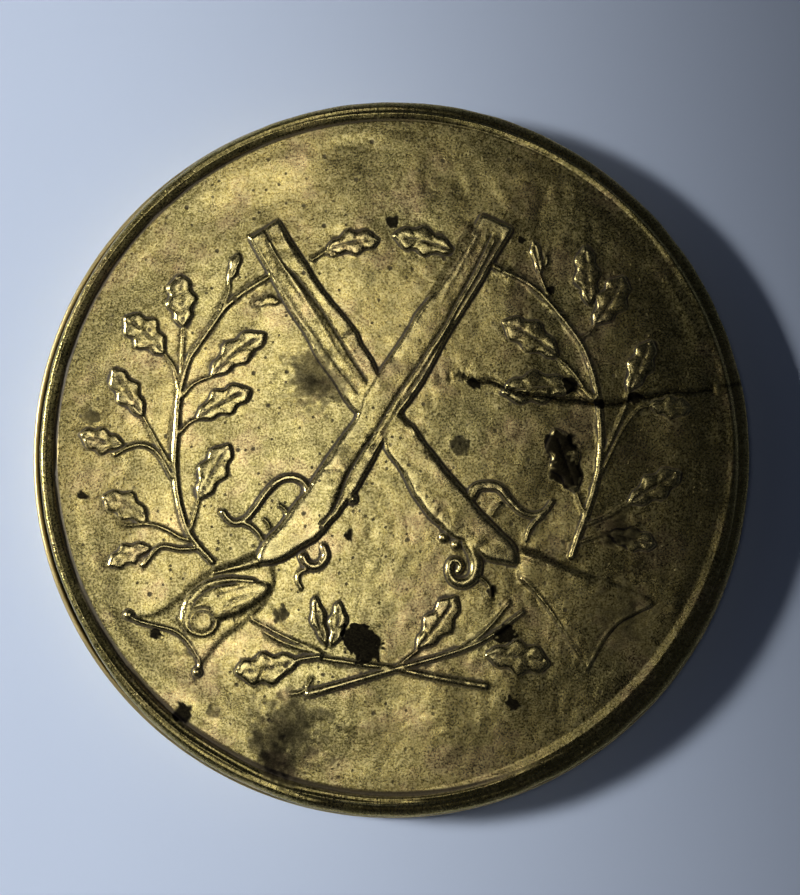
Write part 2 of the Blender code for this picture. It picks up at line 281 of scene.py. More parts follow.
@dataclass(frozen=True)
class Ridge:
    """A raised line of the design, such as a stem or a trigger guard."""

    points: tuple[Point, ...]
    radius: float
    height: float
    end_radius: float = 0.0
    section: Section = Section.ROUND

    # The height that is left at the line's end.
    END_HEIGHT = 0.75

    def strike(self, die: Die) -> None:
        """Raises the line, tapering to end_radius where that is given.

        Args:
            die: The die that it's struck on.
        """
        route = smooth_route(self.points)
        end = self.end_radius or self.radius
        widest = max(self.radius, end)
        place, x, y = die.window(route.min(axis=0) - widest, route.max(axis=0) + widest)
        gap, along = from_route(route, x, y)
        share = gap / (self.radius + (end - self.radius) * along)
        lift = self.height * (self.END_HEIGHT + (1.0 - self.END_HEIGHT) * (1.0 - along))
        die.raise_to(place, lift * self.section.across(share) * (share < 1.0))


@dataclass(frozen=True)
class Plate:
    """A raised patch with rounded shoulders, such as a gunstock."""

    outline: tuple[Point, ...]
    height: float
    shoulder: float
    fade: tuple[Point, Point] = ((0.0, 0.0), (0.0, 0.0))
    faded_to: float = 1.0

    def strike(self, die: Die) -> None:
        """Raises the patch, sinking to faded_to of its height along its fade.

        Args:
            die: The die that it's struck on.
        """
        outline = smooth_route(self.outline, closed=True)
        place, x, y = die.window(outline.min(axis=0), outline.max(axis=0))
        gap, _ = from_route(np.vstack([outline, outline[:1]]), x, y)
        rise = np.clip(gap / self.shoulder, 0.0, 1.0)
        profile = np.sqrt(1.0 - (1.0 - rise) ** 2)
        if self.faded_to != 1.0:
            first, last = np.array(self.fade[0]), np.array(self.fade[1])
            run = last - first
            t = ((x - first[0]) * run[0] + (y - first[1]) * run[1]) / (run @ run)
            profile = profile * (1.0 + (self.faded_to - 1.0) * eased(t, 0.0, 1.0))
        die.raise_to(place, self.height * profile * inside_outline(outline, x, y))


@dataclass(frozen=True)
class Boss:
    """A small round knob, such as the end of a butt plate's horn."""

    middle: Point
    radius: float
    height: float

    def strike(self, die: Die) -> None:
        """Raises the knob.

        Args:
            die: The die that it's struck on.
        """
        middle = np.array(self.middle)
        place, x, y = die.window(middle - self.radius, middle + self.radius)
        share = np.hypot(x - middle[0], y - middle[1]) / self.radius
        die.raise_to(place, self.height * Section.ROUND.across(share) * (share < 1.0))


@dataclass(frozen=True)
class Score:
    """A line cut into what is already raised, such as the joint between barrel and stock."""

    points: tuple[Point, ...]
    half_width: float
    depth: float

    def strike(self, die: Die) -> None:
        """Sinks the line into what stands there.

        Args:
            die: The die that it's cut in.
        """
        route = smooth_route(self.points)
        reach = 3.0 * self.half_width
        place, x, y = die.window(route.min(axis=0) - reach, route.max(axis=0) + reach)
        gap, _ = from_route(route, x, y)
        die.height[place] -= self.depth * bell(gap, self.half_width)


@dataclass(frozen=True)
class Leaf:
    """A lobed oak leaf with a midrib and side veins."""

    foot: Point
    tip: Point
    width: float
    bend: float = 0.0
    height: float = 0.21
    lobes: float = 3.0
    curl: float = 0.0
    lobe_depth: float = 0.30
    vein_width: float = 0.055

    # How far the lobes of the two sides stand apart along the leaf, as a share of a lobe.
    STAGGER = 0.12
    MARGIN = 0.10
    # Side veins lean by this much along the leaf for each step across it.
    VEIN_LEAN = 0.85
    VEIN_SQUEEZE = 0.76
    VEIN_DEPTH = 0.42
    SIDE_VEIN = 0.7
    # The blade's height where its pillow has fallen to nothing.
    EDGE_HEIGHT = 0.55

    def strike(self, die: Die) -> None:
        """Raises the leaf: pillowed lobes, sunk midrib and veins, crisp margin.

        Args:
            die: The die that it's struck on.
        """
        foot, tip = np.array(self.foot), np.array(self.tip)
        length = float(np.linalg.norm(tip - foot))
        run = (tip - foot) / length
        reach = 0.6 * self.width + abs(self.bend) * length
        place, x, y = die.window(np.minimum(foot, tip) - reach, np.maximum(foot, tip) + reach)
        along = (x - foot[0]) * run[0] + (y - foot[1]) * run[1]
        u = np.clip(along / length, 0.0, 1.0)
        v = (y - foot[1]) * run[0] - (x - foot[0]) * run[1]
        v = v - self.bend * length * 4.0 * u * (1.0 - u)
        side = np.where(v >= 0.0, self.STAGGER, -self.STAGGER)
        swell = np.sin(math.pi * u**1.2) ** 0.62
        lobe = 0.5 + 0.5 * np.cos(2.0 * math.pi * (self.lobes * u + side))
        half = np.maximum(0.5 * self.width * swell * (1.0 - self.lobe_depth * lobe), 1e-4)
        share = np.abs(v) / half
        margin = eased((1.0 - share) * half, 0.0, self.MARGIN)
        pillow = np.sqrt(np.clip(1.0 - share**2.4, 0.0, 1.0))
        rib = bell(v, self.vein_width) * eased(0.92 - u, 0.0, 0.1)
        spacing = length / (self.lobes + 0.4)
        phase = (along - self.VEIN_LEAN * np.abs(v)) / spacing + side
        off_vein = np.abs(phase - np.round(phase)) * spacing * self.VEIN_SQUEEZE
        vein = bell(off_vein, self.vein_width) * eased(0.9 - share, 0.0, 0.25)
        blade = (self.EDGE_HEIGHT + (1.0 - self.EDGE_HEIGHT) * pillow) * margin
        blade = blade * (1.0 + self.curl * np.clip(v / (0.5 * self.width), -1.0, 1.0))
        blade = blade - self.VEIN_DEPTH * np.maximum(rib, self.SIDE_VEIN * vein) * margin
        inside = (share < 1.0) & (along > 0.0) & (along < length)
        die.raise_to(place, self.height * np.where(inside, blade, 0.0))


Motif = Union[Ridge, Plate, Boss, Score, Leaf]


def twig(*points: Point) -> Ridge:
    """A leaf's own thin stalk."""
    return Ridge(points, radius=0.13, height=0.12, end_radius=0.09)


def stem(*points: Point) -> Ridge:
    """A main stem of the wreath."""
    return Ridge(points, radius=0.19, height=0.17, end_radius=0.16)


def spiral(middle: Point, outer: float, inner: float, start: float, turns: float) -> tuple[Point, ...]:
    """Points along a flat spiral.

    Args:
        middle: Its middle.
        outer: Its radius at the start.
        inner: Its radius at the end.
        start: The angle it starts at, in degrees.
        turns: How many turns it makes, anticlockwise.

    Returns:
        The points from the outside inwards.
    """
    points = []
    steps = max(6, int(12 * abs(turns)))
    for i in range(steps + 1):
        share = i / steps
        angle = math.radians(start) + 2.0 * math.pi * turns * share
        radius = outer + (inner - outer) * share
        points.append((middle[0] + radius * math.cos(angle), middle[1] + radius * math.sin(angle)))
    return tuple(points)


class Wreath:
    """Oak branches on both sides, a leaf pair at the head and crossed sprigs at the foot."""

    LEFT_LEAVES = (
        Leaf((-11.85, 6.9), (-12.1, 9.95), 1.85, curl=0.10),
        Leaf((-12.85, 5.45), (-15.15, 7.55), 2.05, bend=-0.04, curl=0.10),
        Leaf((-14.0, 1.9), (-15.8, 4.65), 1.65, curl=0.12),
        Leaf((-15.05, 0.45), (-17.55, 1.0), 1.6, bend=0.06, curl=-0.12),
        Leaf((-10.35, 4.15), (-7.25, 6.65), 1.75, bend=0.05, curl=0.20),
        Leaf((-11.15, 1.8), (-8.05, 3.5), 1.75, bend=0.04, curl=0.15),
        Leaf((-10.95, -2.75), (-9.25, 0.45), 1.8, bend=0.03, curl=0.15),
        Leaf((-13.75, -3.95), (-16.3, -2.5), 1.75, bend=-0.08, curl=-0.10, height=0.17),
        Leaf((-13.5, -5.25), (-15.95, -6.35), 1.35, bend=-0.05, curl=-0.20, height=0.17),
        Leaf((-8.2, 8.15), (-6.35, 8.45), 0.7, bend=0.08, lobes=2.0, height=0.13),
        Leaf((-9.35, 9.5), (-8.75, 11.2), 0.75, lobes=2.0, height=0.17),
    )
    HEAD_LEAVES = (
        Leaf((-3.95, 11.35), (-0.9, 11.95), 1.6, bend=0.05, curl=0.10),
        Leaf((-4.05, 11.35), (-3.25, 11.05), 0.5, lobes=1.0, height=0.13),
        Leaf((3.35, 11.3), (-0.15, 12.2), 1.75, bend=-0.04, curl=-0.05),
    )
    RIGHT_LEAVES = (
        Leaf((8.2, 9.9), (7.75, 12.0), 0.75, lobes=2.0, height=0.17),
        Leaf((8.3, 10.2), (8.55, 11.2), 0.45, lobes=1.0, height=0.14),
        Leaf((10.95, 8.2), (10.65, 11.7), 1.6, curl=0.10),
        Leaf((11.15, 7.15), (12.9, 10.0), 1.95, bend=-0.04, curl=0.10),
        Leaf((9.2, 5.35), (6.0, 7.35), 1.95, bend=-0.05, curl=-0.15),
        Leaf((10.1, 3.75), (5.95, 3.35), 2.05, bend=-0.03, curl=0.05),
        Leaf((10.15, -2.25), (8.85, 1.35), 1.95, curl=-0.05),
        Leaf((13.05, 3.4), (14.45, 6.4), 1.6, curl=0.10),
        Leaf((14.2, 2.7), (16.6, 2.5), 1.45, curl=0.10, height=0.17),
        Leaf((13.0, -2.85), (16.0, -1.0), 1.75, curl=0.10),
        Leaf((11.9, -4.5), (14.6, -5.15), 1.45, curl=0.10),
    )
    FOOT_LEAVES = (
        Leaf((-5.3, -11.5), (-8.9, -12.2), 2.0, bend=0.05, curl=-0.10),
        Leaf((-3.75, -10.85), (-4.45, -8.0), 1.0, bend=0.05, curl=0.10, lobes=2.5),
        Leaf((-3.6, -10.9), (-3.15, -8.3), 1.15, bend=-0.06, curl=-0.10, lobes=2.5),
        Leaf((1.15, -11.0), (3.4, -8.0), 1.85, bend=-0.03, curl=0.15),
        Leaf((4.95, -11.3), (8.6, -11.8), 2.1, bend=0.04, curl=0.10),
    )
    STALKS = (
        stem((-10.2, -6.1), (-11.05, -5.15), (-11.6, -4.3), (-12.0, -3.0), (-12.25, -1.5),
             (-12.3, -0.2), (-12.2, 1.2), (-12.05, 3.2), (-11.6, 5.0), (-11.0, 6.0), (-10.3, 7.0),
             (-9.6, 8.0), (-8.6, 8.9), (-7.1, 9.85)),
        stem((9.85, -5.8), (10.2, -4.7), (10.65, -3.5), (11.05, -2.3), (11.35, -1.1), (11.5, 0.2),
             (11.5, 1.6), (11.35, 3.2), (11.1, 4.4), (10.65, 5.7), (10.0, 6.8), (9.0, 8.05),
             (8.1, 9.05), (7.1, 9.75), (6.2, 10.15)),
        stem((5.3, 10.65), (5.9, 10.3)),
        Ridge(((-4.8, -13.4), (-2.4, -12.75), (0.0, -12.05), (3.0, -11.2), (5.0, -10.4), (7.1, -8.9)),
              radius=0.23, height=0.22, end_radius=0.10),
        Ridge(((5.0, -13.0), (2.4, -12.55), (0.0, -12.05), (-2.2, -11.75), (-4.2, -11.45)),
              radius=0.22, height=0.17, end_radius=0.14),
        Ridge(((-4.2, -11.35), (-5.4, -11.55), (-6.1, -12.1), (-6.8, -12.7)), radius=0.15, height=0.26),
        twig((-4.15, -11.2), (-4.6, -10.95), (-6.2, -10.25), (-8.0, -9.3)),
        twig((-4.4, -11.15), (-5.2, -10.95), (-6.4, -10.5), (-7.3, -10.0)),
        twig((-5.8, -13.45), (-5.3, -13.35), (-5.0, -13.15), (-4.65, -12.55)),
        twig((0.2, -11.85), (0.8, -11.35), (1.3, -10.95), (1.9, -10.1)),
        twig((3.6, -10.95), (4.6, -10.3), (5.5, -9.4), (6.4, -8.3)),
        twig((-12.1, 3.6), (-11.95, 4.6), (-11.9, 5.6), (-11.85, 7.0)),
        twig((-12.1, 3.6), (-12.35, 4.7), (-12.85, 5.4), (-13.3, 5.9)),
        twig((-12.4, -0.9), (-13.1, 0.2), (-13.6, 1.1), (-14.1, 2.0)),
        Ridge(((-12.45, -1.4), (-12.95, -0.5), (-13.5, 0.15), (-14.2, 0.4), (-15.0, 0.2), (-15.6, -0.15)),
              radius=0.14, height=0.17),
        twig((-11.9, 3.1), (-11.4, 3.7), (-10.9, 4.0), (-10.2, 4.25)),
        twig((-12.15, 0.95), (-11.7, 1.45), (-11.3, 1.75), (-10.6, 2.0)),
        twig((-11.45, -4.4), (-11.15, -3.5), (-10.95, -2.7)),
        twig((-11.3, -4.95), (-12.0, -4.75), (-12.7, -4.35), (-13.6, -4.05), (-15.0, -4.1)),
        Ridge(((-10.9, -5.35), (-12.0, -5.4), (-12.8, -5.25), (-13.3, -5.45), (-14.0, -6.3)),
              radius=0.13, height=0.17),
        twig((-9.75, 8.0), (-9.4, 8.8), (-9.3, 9.3), (-9.35, 9.8)),
        twig((8.6, 8.9), (8.35, 9.4), (8.15, 9.95), (8.0, 10.4)),
        twig((10.2, 6.4), (10.7, 6.6), (11.05, 6.95), (11.3, 7.4)),
        twig((11.3, 3.1), (10.7, 3.5), (10.0, 4.5), (9.1, 5.4)),
        twig((11.3, 2.9), (10.8, 3.2), (10.4, 3.6), (9.9, 3.8)),
        twig((10.65, -3.6), (10.4, -3.0), (10.15, -2.3)),
        twig((11.6, -0.3), (12.3, 1.2), (12.9, 2.6), (13.1, 3.6)),
        twig((11.5, -1.2), (12.7, 1.2), (13.6, 2.4), (14.4, 2.7)),
        twig((10.7, -4.0), (11.5, -3.7), (12.4, -3.2), (13.1, -2.8)),
        twig((10.35, -5.0), (11.0, -4.75), (11.6, -4.55), (12.1, -4.5)),
        twig((-4.65, 10.8), (-4.2, 11.1), (-3.8, 11.4)),
    )

    def motifs(self) -> list[Motif]:
        """Everything in the wreath, stalks first so that leaves lie over them."""
        leaves = self.LEFT_LEAVES + self.HEAD_LEAVES + self.RIGHT_LEAVES + self.FOOT_LEAVES
        return [*self.STALKS, *leaves]


class Rifles:
    """The two crossed target rifles, the one that runs up to the right lying on top."""

    UPPER_BODY = Plate(
        ((4.78, 13.38), (5.0, 13.42), (5.8, 13.05), (6.5, 12.75), (6.6, 12.55), (6.3, 12.0), (5.35, 10.5),
         (5.0, 9.8), (4.0, 8.2), (3.0, 6.6), (2.3, 5.3), (1.6, 4.0), (1.0, 3.1), (0.25, 2.1), (-0.5, 0.9),
         (-1.0, 0.0), (-1.2, -0.45), (-1.8, -1.5), (-2.2, -2.2), (-2.85, -3.0), (-3.35, -3.7),
         (-4.6, -4.6), (-5.6, -3.6), (-5.0, -2.1), (-4.55, -1.4), (-3.7, -0.1), (-2.9, 1.0), (-2.2, 2.0),
         (-1.8, 3.2), (-1.2, 4.1), (-0.6, 5.0), (0.1, 6.0), (0.8, 7.1), (1.15, 7.8), (1.9, 8.7),
         (2.6, 9.6), (3.1, 10.3), (4.4, 12.7)),
        height=0.30, shoulder=0.20)
    LOWER_BODY = Plate(
        ((-8.2, 11.95), (-8.0, 12.15), (-7.3, 12.6), (-6.65, 13.05), (-6.5, 13.0), (-5.9, 12.0),
         (-5.0, 10.6), (-4.6, 9.9), (-3.9, 8.9), (-3.0, 7.8), (-2.2, 6.8), (-1.9, 6.1), (-1.3, 5.2),
         (-0.95, 4.4), (0.3, 2.05), (1.0, 1.5), (1.6, 0.6), (2.1, 0.0), (2.8, -0.9), (3.5, -1.7),
         (4.0, -2.3), (4.5, -3.4), (2.8, -4.3), (2.4, -4.1), (1.9, -3.7), (1.3, -2.9), (0.85, -2.2),
         (0.25, -1.0), (-0.5, 0.0), (-0.9, 0.9), (-2.6, 2.6), (-3.4, 3.9), (-4.4, 5.3), (-5.0, 6.5),
         (-6.0, 8.0), (-7.0, 9.8)),
        height=0.24, shoulder=0.18)
    UPPER_STOCK = Plate(
        ((-1.3, 3.0), (-2.75, 1.0), (-3.7, -0.15), (-4.6, -1.45), (-5.0, -2.1), (-5.8, -3.1), (-6.5, -4.1),
         (-7.2, -4.8), (-7.62, -5.5), (-7.68, -6.0), (-7.4, -6.28), (-6.75, -6.2), (-6.0, -5.9),
         (-5.2, -5.35), (-4.5, -4.95), (-3.95, -4.4), (-3.45, -3.65), (-3.15, -2.6), (-2.7, -1.5),
         (-2.0, -0.2), (-1.2, 1.0), (-0.4, 2.3)),
        height=0.38, shoulder=0.34, fade=((-3.0, -1.4), (-1.4, 1.4)), faded_to=0.66)
    LOWER_STOCK = Plate(
        ((-0.1, 2.6), (-1.0, 1.6), (-0.35, 0.2), (0.2, -0.8), (0.85, -2.2), (1.35, -2.95), (1.9, -3.65),
         (2.45, -4.1), (2.8, -4.5), (3.3, -4.85), (4.1, -5.2), (5.0, -5.95), (6.0, -6.2), (6.7, -6.3),
         (6.88, -5.85), (6.6, -5.1), (6.0, -4.5), (5.4, -3.9), (4.7, -3.2), (4.0, -2.3), (3.4, -1.65),
         (2.7, -0.8), (2.0, 0.05), (1.2, 1.1), (0.5, 2.0)),
        height=0.34, shoulder=0.34, fade=((2.0, -1.2), (0.6, 0.8)), faded_to=0.60)
    BARRELS = (
        Ridge(((-7.05, 11.75), (-6.3, 10.45), (-5.2, 8.75), (-4.3, 7.3), (-3.4, 5.8), (-2.3, 4.2)),
              0.62, 0.36, section=Section.CREST),
        Ridge(((-6.45, 12.4), (-5.75, 11.1), (-5.0, 9.9), (-3.9, 8.45), (-3.0, 7.1), (-2.1, 5.7),
               (-1.2, 4.3)), 0.20, 0.30),
        Ridge(((4.55, 12.2), (3.7, 10.6), (2.7, 8.85), (1.8, 7.3), (0.6, 5.5), (-0.4, 3.9), (-1.2, 2.5)),
              0.78, 0.36, section=Section.CREST),
        Ridge(((5.55, 11.95), (5.05, 11.0), (4.5, 9.95), (3.55, 8.3), (2.8, 6.9), (2.0, 5.65), (1.25, 4.5),
               (0.15, 2.9), (-0.75, 1.5), (-1.45, 0.4)), 0.13, 0.38),
        Ridge(((-1.5, 0.3), (-2.1, -0.7), (-2.6, -1.7), (-3.0, -2.6)), 0.42, 0.34, section=Section.CREST),
    )
    BARREL_SCORES = (
        Score(((4.3, 12.3), (3.3, 10.6), (2.5, 9.3), (1.75, 8.1), (0.95, 6.8), (0.0, 5.35), (-0.9, 4.0)),
              0.045, 0.05),
        Score(((5.4, 12.3), (4.75, 10.9), (4.35, 10.1), (3.4, 8.4), (2.65, 7.0), (1.85, 5.8), (1.1, 4.65),
               (0.05, 3.1), (-0.75, 1.8), (-1.5, 0.5)), 0.05, 0.09),
        Score(((5.95, 12.1), (5.2, 10.8), (4.7, 9.9), (3.7, 8.2), (2.95, 6.85), (2.15, 5.5), (1.4, 4.3),
               (0.3, 2.7), (-0.6, 1.2), (-1.35, 0.05)), 0.05, 0.08),
        Score(((-7.75, 11.9), (-6.45, 9.6), (-5.1, 7.5), (-4.05, 5.9), (-3.1, 4.6), (-2.0, 3.2)), 0.05, 0.07),
        Score(((-7.3, 12.45), (-6.75, 11.4), (-6.2, 10.5), (-5.5, 9.8), (-4.9, 9.0), (-4.0, 7.75),
               (-3.15, 6.4), (-2.5, 5.35), (-1.6, 4.0)), 0.055, 0.10),
        Score(((-1.3, 0.9), (-1.9, 0.0), (-2.55, -1.1), (-2.9, -1.9), (-3.1, -2.5), (-3.6, -3.4),
               (-4.1, -4.0)), 0.06, 0.12),
        Score(((-3.95, -1.0), (-3.5, -0.92), (-3.0, -0.98)), 0.06, 0.06),
        Score(((-3.15, 6.4), (-2.75, 6.6), (-2.3, 6.9)), 0.05, 0.08),
        Score(((2.3, -3.6), (2.6, -3.2), (3.2, -3.3)), 0.06, 0.05),
        Score(((3.4, -4.5), (3.9, -4.2), (4.4, -4.6)), 0.06, 0.05),
        Score(((4.6, -5.3), (5.3, -5.0), (6.1, -5.5)), 0.07, 0.04),
    )
    BUTT = (
        (-7.4, -5.5), (-8.8, -5.95), (-10.1, -6.5), (-11.3, -7.4), (-12.4, -8.4), (-13.4, -9.0),
        (-14.5, -9.2), (-13.6, -9.62), (-12.6, -9.9), (-11.75, -10.35), (-11.2, -11.1), (-10.85, -11.9),
        (-10.45, -11.5), (-9.75, -10.6), (-8.97, -9.97), (-7.9, -9.1), (-7.0, -8.1), (-6.7, -7.0))
    FAR_BUTT = (
        (6.75, -5.6), (7.5, -5.35), (8.5, -5.8), (9.56, -6.35), (11.5, -7.0), (13.2, -7.65), (14.5, -8.35),
        (13.3, -8.9), (12.2, -9.6), (11.4, -10.6), (10.75, -12.1), (10.1, -11.2), (9.3, -9.9),
        (8.45, -8.6), (7.6, -7.7), (6.9, -7.1))
    CHEEK = (
        (-6.9, -7.5), (-7.1, -7.26), (-7.88, -7.08), (-9.12, -7.0), (-10.36, -7.16), (-11.3, -7.65),
        (-11.84, -8.43), (-12.0, -9.3), (-11.85, -9.75), (-11.4, -10.05), (-10.68, -10.2), (-10.0, -9.95),
        (-9.7, -9.45), (-8.65, -9.05), (-7.73, -8.5), (-7.1, -7.96))
    CHEEK_BAND = (
        (-7.9, -7.2), (-9.1, -7.12), (-10.3, -7.32), (-11.15, -7.85), (-11.6, -8.55), (-11.72, -9.3),
        (-11.4, -9.85), (-10.72, -10.05), (-10.15, -9.8), (-9.98, -9.35), (-10.3, -8.9), (-10.75, -8.75),
        (-11.15, -8.95))
    CHEEK_SCORES = (
        Score(((-8.9, -7.28), (-10.15, -7.55), (-10.98, -8.12), (-11.35, -8.8)), 0.05, 0.10),
        Score(((-9.85, -8.1), (-9.0, -7.75), (-8.0, -7.5)), 0.05, 0.05),
        Score(((-9.6, -8.6), (-8.8, -8.2), (-7.7, -7.9)), 0.05, 0.06),
        Score(((-9.2, -8.85), (-8.3, -8.45), (-7.5, -8.2)), 0.04, 0.04),
        Score(spiral((-10.72, -9.42), 0.80, 0.55, 60.0, 1.3), 0.05, 0.09),
    )
    PLATE_LINE = (
        (-14.55, -9.25), (-14.1, -9.45), (-13.3, -9.64), (-12.3, -9.92), (-11.65, -10.4), (-11.16, -11.1),
        (-10.85, -11.65), (-10.95, -12.1))
    FAR_PLATE_LINE = (
        (14.3, -8.45), (13.4, -8.85), (12.3, -9.5), (11.5, -10.5), (10.95, -11.5), (10.7, -12.0))
    GUARD = (
        (-4.95, -2.35), (-5.0, -1.85), (-5.4, -1.5), (-6.0, -1.42), (-6.6, -1.65), (-7.15, -2.2),
        (-7.8, -3.1), (-8.3, -3.7), (-8.9, -3.95), (-9.3, -3.75), (-9.6, -3.35))
    GUARD_TAIL = ((-8.6, -3.9), (-8.1, -4.1), (-7.65, -4.5), (-7.4, -4.9))
    FAR_GUARD = (
        (4.25, -2.4), (4.5, -2.0), (5.0, -1.85), (5.75, -1.95), (6.3, -2.55), (6.9, -3.2), (7.6, -3.5),
        (8.3, -3.3), (8.78, -2.7))
    FAR_GUARD_TAIL = ((8.2, -3.5), (7.75, -3.9), (7.45, -4.35), (7.28, -4.9))
    HAMMER = ((-5.15, -5.85), (-4.95, -6.2), (-4.55, -6.38), (-4.15, -6.2), (-3.88, -5.75), (-4.0, -5.3))
    HAMMER_TAIL = ((-4.9, -6.5), (-5.32, -6.7), (-5.45, -7.1), (-5.24, -7.6))
    FAR_HAMMER = (
        (4.05, -5.0), (4.35, -5.6), (4.5, -6.3), (4.35, -6.95), (3.8, -7.3), (3.2, -7.1), (2.98, -6.55),
        (3.1, -6.1), (3.45, -6.05), (3.65, -6.35), (3.5, -6.65))
    FAR_HAMMER_TAIL = ((4.6, -6.9), (5.0, -7.2), (5.28, -7.6), (5.35, -8.05))

    def lower(self) -> list[Motif]:
        """The lower rifle, whose butt is struck faintly."""
        return [
            Plate(self.FAR_BUTT, 0.13, 0.5),
            Ridge(self.FAR_PLATE_LINE, 0.13, 0.17),
            Ridge(((7.2, -5.75), (8.6, -6.3), (10.4, -7.1), (12.0, -7.8)), 0.5, 0.2, 0.25, Section.CREST),
            Ridge(((7.1, -7.0), (8.3, -8.35), (9.3, -9.8), (10.5, -11.7)), 0.16, 0.18, 0.12, Section.CREST),
            self.LOWER_BODY,
            *self.BARRELS[:2],
            self.LOWER_STOCK,
            Ridge(self.FAR_GUARD, 0.33, 0.20, 0.14, Section.FLAT),
            Ridge(self.FAR_GUARD_TAIL, 0.15, 0.18, 0.1),
            Ridge(((5.9, -2.85), (5.6, -3.1), (5.4, -3.5)), 0.09, 0.14),
            Ridge(self.FAR_HAMMER, 0.40, 0.30, 0.17),
            Ridge(self.FAR_HAMMER_TAIL, 0.13, 0.16, 0.08),
            Boss((2.7, -4.75), 0.28, 0.2),
            Boss((3.4, -5.15), 0.30, 0.22),
        ]

    def upper(self) -> list[Motif]:
        """The upper rifle, with its cheek piece and scroll."""
        return [
            Plate(self.BUTT, 0.10, 0.5),
            Ridge(((-7.7, -6.1), (-8.8, -6.4), (-10.05, -6.72)), 0.55, 0.26, 0.2, Section.CREST),
            Ridge(self.PLATE_LINE, 0.13, 0.20),
            Boss((-14.79, -9.05), 0.28, 0.26),
            Boss((-10.98, -12.23), 0.28, 0.26),
            Plate(self.CHEEK, 0.27, 0.5),
            Ridge(self.CHEEK_BAND, 0.20, 0.31, 0.28),
            *self.CHEEK_SCORES,
            self.UPPER_BODY,
            *self.BARRELS[2:4],
            self.UPPER_STOCK,
            self.BARRELS[4],
            Boss((-2.4, -2.6), 0.30, 0.32),
            Ridge(self.GUARD, 0.21, 0.22, 0.17, Section.FLAT),
            Ridge(self.GUARD_TAIL, 0.15, 0.18, 0.12),
            Ridge(((-6.45, -2.95), (-6.15, -3.2), (-6.05, -3.6)), 0.09, 0.14),
            Ridge(((-7.3, -3.75), (-7.1, -3.95), (-7.0, -4.25)), 0.08, 0.13),
            Ridge(self.HAMMER, 0.25, 0.26, 0.22),
            Ridge(self.HAMMER_TAIL, 0.14, 0.16, 0.1),
        ]

    def motifs(self) -> list[Motif]:
        """Both rifles, the lower one first."""
        return [*self.lower(), *self.upper(), *self.BARREL_SCORES]


@dataclass(frozen=True)
class DarkSpot:
    """A dark spot on the field: most are dirt or corrosion, and the one beside the crack at (4.4, 3.85) is a
    painted shadow.
    """

    middle: Point
    radius: float
    strength: float
    soft: float = 0.05


